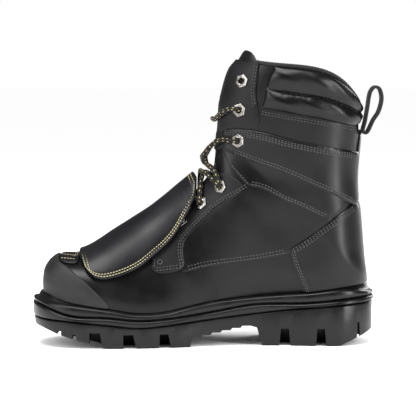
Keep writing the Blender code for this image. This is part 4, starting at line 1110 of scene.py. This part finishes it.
def turned_rings(name, place, normal, up, rings):
    """Closed ring of metal from a hexagon or circle at each height; it also makes the near-black disc of
    painted shade in an eyelet's bore.
    """
    across = up.cross(normal)
    verts, faces = [], []
    for corner, radius, height in rings:
        for k in range(RING_POINTS):
            angle = 2 * math.pi * k / RING_POINTS
            fold = (angle + math.pi / 6) % (math.pi / 3) - math.pi / 6
            reach = radius * (1 + corner * (1 / math.cos(fold) - 1))
            spoke = math.cos(angle) * up + math.sin(angle) * across
            verts.append(place + normal * height + reach * spoke)
    count = len(rings)
    for r in range(count):
        here, above = r * RING_POINTS, (r + 1) % count * RING_POINTS
        for k in range(RING_POINTS):
            j = (k + 1) % RING_POINTS
            faces.append((here + k, here + j, above + j, above + k))
    return tidy_mesh(new_object(name, verts, faces), 32)


def make_metal():
    for side, word in ((INNER, "inner"), (OUTER, "outer")):
        for n, (along, rise, under) in enumerate(EYELETS, start=1):
            place, normal, up, _ = frame_at(along, rise, side)
            turned = (up * math.cos(0.5) + up.cross(normal) * math.sin(0.5)).normalized()
            foot = place + normal * under
            ring = turned_rings(f"hex_eyelet_{word}_{n}", foot, normal, turned, EYELET_RINGS)
            dress(ring, "nickel", NICKEL, replaces=(f"eyelet_{word}_{n}",))
            foot = place + normal * (under + 0.0003)
            # Near-black disc over the eyelet's hole: painted shade standing for the dark inside of the bore
            bore = turned_rings(f"eyelet_bore_shade_{word}_{n}", foot, normal, up, BORE_RINGS)
            dress(bore, "webbing", BORE_SHADOW)
        place, normal, up, _ = frame_at(*RIVET, side)
        foot = place + normal * 0.0019
        rivet = turned_rings(f"rivet_{word}_ring", foot, normal, up, RIVET_RINGS)
        dress(rivet, "nickel", RIVET_STEEL, replaces=(f"rivet_{word}",))


LACE_RADIUS = 0.0021
LACE_LIFT = 0.0030  # of the strand that lies over the other
# Strands: lower and upper eyelet, height at the facings and over the throat, sections of sag
LACES = (
    ("lace_bar", 1, 1, 0.0056, 0.0024, 2.5),
    ("lace_crossing_1", 3, 2, 0.0052, 0.0070, 2.3),
    ("lace_crossing_2", 4, 3, 0.0058, 0.0042, 0.0),
    ("lace_crossing_3", 5, 4, 0.0060, 0.0038, 0.0),
)


def strand(lower, upper, side, edge_out, middle_out, sag, lift):
    """Middle line of a strand from eyelet to eyelet, in and out through their bores."""
    low = frame_at(*EYELETS[lower][:2], side)[3]
    high = frame_at(*EYELETS[upper][:2], -side)[3]
    share = np.linspace(0, 1, 61)
    over = np.sin(math.pi * share) ** 2
    s = low[0] + (high[0] - low[0]) * share - sag * over
    t = low[1] + (high[1] - low[1]) * share
    out = edge_out + (middle_out - edge_out) * over**2 + lift * over
    into = np.clip(np.minimum(share, 1 - share) / 0.10, 0, 1)
    out = 0.0012 + (out - 0.0012) * np.sqrt(1 - (1 - into) ** 2)
    return skin(s, t, out)


def make_laces():
    for name, lower, upper, edge_out, middle_out, sag in LACES:
        line = strand(lower, upper, -1, edge_out, middle_out, sag, 0.0)
        dress(tube_mesh(name + "_a", line, LACE_RADIUS), "lace", LACE_BRAID, replaces=(name,))
        if lower != upper:
            line = strand(lower, upper, 1, edge_out, middle_out, sag, LACE_LIFT)
            dress(tube_mesh(name + "_b", line, LACE_RADIUS), "lace", LACE_BRAID)


LOOP_FOOT = (0.9665, 0.640)
LOOP_LINE = (
    (0.0000, 0.0000), (0.0021, 0.0095), (0.0042, 0.0220), (0.0064, 0.0350), (0.0105, 0.0405),
    (0.0150, 0.0390), (0.0172, 0.0320), (0.0166, 0.0250), (0.0140, 0.0170), (0.0095, 0.0100),
    (0.0040, -0.0010),
)
LOOP_WIDE, LOOP_THICK = 0.022, 0.0026


def closed_curve(points, count):
    """Smooth closed line through points."""
    points = np.array(points, float)
    n = len(points)
    result = []
    for at in np.linspace(0, n, count, endpoint=False):
        i, f = int(at), at - int(at)
        p0, p1, p2, p3 = (points[(i + k - 1) % n] for k in range(4))
        result.append(0.5 * (2 * p1 + (p2 - p0) * f + (2 * p0 - 5 * p1 + 4 * p2 - p3) * f * f
                             + (3 * p1 - p0 - 3 * p2 + p3) * f**3))
    return np.array(result)


def make_pull_loop():
    foot_u = LENGTH * LOOP_FOOT[0]
    foot = np.array([foot_u + SHIFT_X, float(seat(foot_u)) + RISE * LOOP_FOOT[1]])
    line = closed_curve(np.array(LOOP_LINE) + foot, 150)
    ahead = np.roll(line, -1, axis=0) - np.roll(line, 1, axis=0)
    ahead /= np.linalg.norm(ahead, axis=1, keepdims=True)
    across = np.stack([-ahead[:, 1], ahead[:, 0]], axis=-1)
    half, round_at = LOOP_WIDE / 2, LOOP_THICK / 2
    profile = []
    for y in np.linspace(-half + round_at, half - round_at, 12):
        profile.append((y, round_at * (1 + 0.05 * math.cos(y / 0.0009))))
    for a in np.linspace(math.pi / 2, -math.pi / 2, 7)[1:-1]:
        profile.append((half - round_at + round_at * math.cos(a), round_at * math.sin(a)))
    profile += [(-y, -h) for y, h in profile]
    run = run_along(line)
    verts, faces, uvs = [], [], []
    count = len(profile)
    for point, side in zip(line, across):
        for y, h in profile:
            verts.append((point[0] + side[0] * h, SHIFT_Y + y, point[1] + side[1] * h))
    for k in range(len(line)):
        n = (k + 1) % len(line)
        start = run[k]
        for i in range(count):
            j = (i + 1) % count
            faces.append((k * count + i, k * count + j, n * count + j, n * count + i))
            a, b = profile[i][0], profile[j][0]
            uvs += [(start, a), (start, b), (start + 0.0008, b), (start + 0.0008, a)]
    loop = new_object("pull_loop_webbing", verts, faces)
    layer = loop.data.uv_layers.new(name="UVMap")
    layer.data.foreach_set("uv", np.array(uvs, float).reshape(-1))
    tidy_mesh(loop, 50)
    dress(loop, "webbing", WEBBING_TAPE, replaces=("pull_loop",))


# Sole
MIDSOLE_SIDE = (
    ("lug_top", 0.0003, 0.0026), ("lug_top", 0.0010, 0.0008), ("lug_top", 0.0022, 0.0002),
    ("groove", -0.0034, 0.0000), ("groove", -0.0018, 0.0001), ("groove", -0.0006, 0.0010),
    ("groove", -0.0001, 0.0026), ("groove", 0.0004, 0.0032), ("groove", 0.0009, 0.0026),
    ("groove", 0.0016, 0.0012), ("groove", 0.0028, 0.0006), ("rim", -0.0022, 0.0008),
    ("rim", -0.0010, 0.0014), ("rim", -0.0002, 0.0026), ("rim", 0.0002, 0.0040), ("seat", 0.0000, 0.0066),
)


def make_midsole():
    shares = (1 - np.cos(np.linspace(0, math.pi, 190))) / 2
    rings = []
    names = [row[0] for row in MIDSOLE_SIDE]
    numbers = np.array([row[1:] for row in MIDSOLE_SIDE])
    for k in range(len(MIDSOLE_SIDE) - 1):
        for f in (0.0, 0.5):
            rings.append((k, f))
    rings.append((len(MIDSOLE_SIDE) - 2, 1.0))
    verts = []
    for k, f in rings:
        inset = numbers[k, 1] * (1 - f) + numbers[k + 1, 1] * f
        u = inset + (LENGTH - 2 * inset) * shares
        low = line_height(names[k], u) + numbers[k, 0]
        high = line_height(names[k + 1], u) + numbers[k + 1, 0]
        z = low * (1 - f) + high * f
        half = plan_half(u, inset, inset, inset)
        inner = np.stack([u, swing(u) - half, z], axis=-1)
        outer = np.stack([u, swing(u) + half, z], axis=-1)
        verts.append(np.concatenate([inner, outer[-2:0:-1]]))
    count = len(verts[0])
    faces = []
    for r in range(len(verts) - 1):
        for i in range(count):
            j = (i + 1) % count
            faces.append((r * count + i, r * count + j, (r + 1) * count + j, (r + 1) * count + i))
    last = len(shares) - 1
    for base in (0, (len(verts) - 1) * count):
        for i in range(last):
            back, front = base + (count - i) % count, base + (count - i - 1) % count
            ring = [base + i, base + i + 1]
            ring += [front] if i != last - 1 else []
            ring += [back] if i else []
            faces.append(tuple(dict.fromkeys(ring)))
    points = np.concatenate(verts) + (SHIFT_X, SHIFT_Y, 0)
    midsole = tidy_mesh(new_object("midsole_band", points, faces), 50)
    dress(midsole, "sole_rubber", SOLE_RUBBER, replaces=("midsole",))


def copy_of(node, name):
    """One of the model's solids under a new name."""
    obj = bpy.data.objects.new(name, NODES[node].data.copy())
    bpy.context.scene.collection.objects.link(obj)
    return obj


def make_outsole():
    """The model's lugs with their edges softened as a mould leaves them."""
    obj = copy_of("outsole", "outsole_lugs")
    shaped = bmesh.new()
    shaped.from_mesh(obj.data)
    bmesh.ops.remove_doubles(shaped, verts=shaped.verts, dist=2e-6)
    bmesh.ops.dissolve_limit(shaped, angle_limit=math.radians(2), verts=shaped.verts, edges=shaped.edges)
    shaped.to_mesh(obj.data)
    shaped.free()
    bevel = obj.modifiers.new("mould_edges", "BEVEL")
    bevel.width = 0.0007
    bevel.segments = 2
    bevel.limit_method = "ANGLE"
    bevel.angle_limit = math.radians(32)
    bpy.context.view_layer.objects.active = obj
    bpy.ops.object.modifier_apply(modifier=bevel.name)
    obj.data.shade_smooth()
    obj.data.set_sharp_from_angle(angle=math.radians(40))
    dress(obj, "sole_rubber", SOLE_RUBBER, replaces=("outsole",))


def make_insole():
    """Footbed under its brushed cover."""
    obj = copy_of("insole", "insole_cover")
    tidy_mesh(obj, 40)
    dress(obj, "footbed", LINING_FELT, replaces=("insole",))


# Painted shade: near-black material for the discs in the eyelets' bores, made with the rubber maker,
# standing for the shade inside each hole
BORE_SHADOW = rubber("painted_bore_shade", "#050505", "#080808", 1.0 * MM, 0.02 * MM, 0.9)
RIVET_STEEL = rubber("rivet_painted_steel", "#2a2a2b", "#3a3a3a", 1.0 * MM, 0.02 * MM, 0.35)

make_upper()
make_overlays()
make_stitches()
make_pad()
make_binding()
make_tongue()
make_guard()
make_metal()
make_laces()
make_pull_loop()
make_midsole()
make_outsole()
make_insole()


# Studio: pale floor, soft boxes and the photograph's camera
def make_studio():
    bpy.ops.mesh.primitive_plane_add(size=60, location=(0, 0, 0))
    floor = bpy.context.active_object
    floor.name = "studio_floor"
    finish, tree, shader = new_material("floor_paper_matt", Roughness=0.7)
    shader.inputs["Base Color"].default_value = linear("#fdfdfd")
    shader.inputs["Specular IOR Level"].default_value = 0.0
    floor.data.materials.append(finish)
    world = bpy.data.worlds.new("studio")
    bpy.context.scene.world = world
    world.use_nodes = True
    tree = world.node_tree
    path = add_node(tree, "LightPath")
    glossy = {"Value": path.outputs["Is Glossy Ray"]}
    dim = add_node(tree, "MapRange", {"To Min": 1.0, "To Max": GLOSS_SHARE}, glossy)
    tree.nodes["Background"].inputs["Color"].default_value = linear("#ffffff")
    tree.links.new(dim.outputs["Result"], tree.nodes["Background"].inputs["Strength"])
    bpy.context.scene.view_settings.view_transform = "Standard"
    for name, place, size, power in LIGHTS:
        data = bpy.data.lights.new(name, "AREA")
        data.shape = "RECTANGLE"
        data.size, data.size_y = size
        data.energy = power
        lamp = bpy.data.objects.new(name, data)
        lamp.location = place
        lamp.rotation_euler = (Vector((0, 0, 0.12)) - Vector(place)).to_track_quat("-Z", "Y").to_euler()
        bpy.context.scene.collection.objects.link(lamp)


# Share of the white surroundings that shows in the gloss of the pieces
GLOSS_SHARE = 0.12
LIGHTS = (
    ("top_box", (-0.20, -0.35, 1.20), (0.9, 0.5), 14.0),
    ("left_box", (-1.1, -0.7, 0.70), (0.6, 0.9), 9.0),
    ("right_strip", (0.95, -0.75, 0.45), (0.20, 1.0), 13.0),
    ("back_strip", (0.70, 0.90, 0.60), (0.30, 1.0), 6.0),
)
PHOTO_WIDTH = 0.3794  # metres across the picture at the boot
CAMERA_AWAY, CAMERA_TILT, SENSOR = 1.75, math.radians(4.0), 36.0
LOOK_AT = Vector((0.1614 + SHIFT_X, -0.03, 0.1259))


def make_camera():
    data = bpy.data.cameras.new("photo_camera")
    camera = bpy.data.objects.new("photo_camera", data)
    bpy.context.scene.collection.objects.link(camera)
    data.sensor_width = SENSOR
    data.lens = SENSOR * CAMERA_AWAY / PHOTO_WIDTH
    back = Vector((0, -math.cos(CAMERA_TILT), math.sin(CAMERA_TILT)))
    camera.location = LOOK_AT + back * CAMERA_AWAY
    camera.rotation_euler = (math.pi / 2 - CAMERA_TILT, 0, 0)
    bpy.context.scene.camera = camera


make_studio()
make_camera()
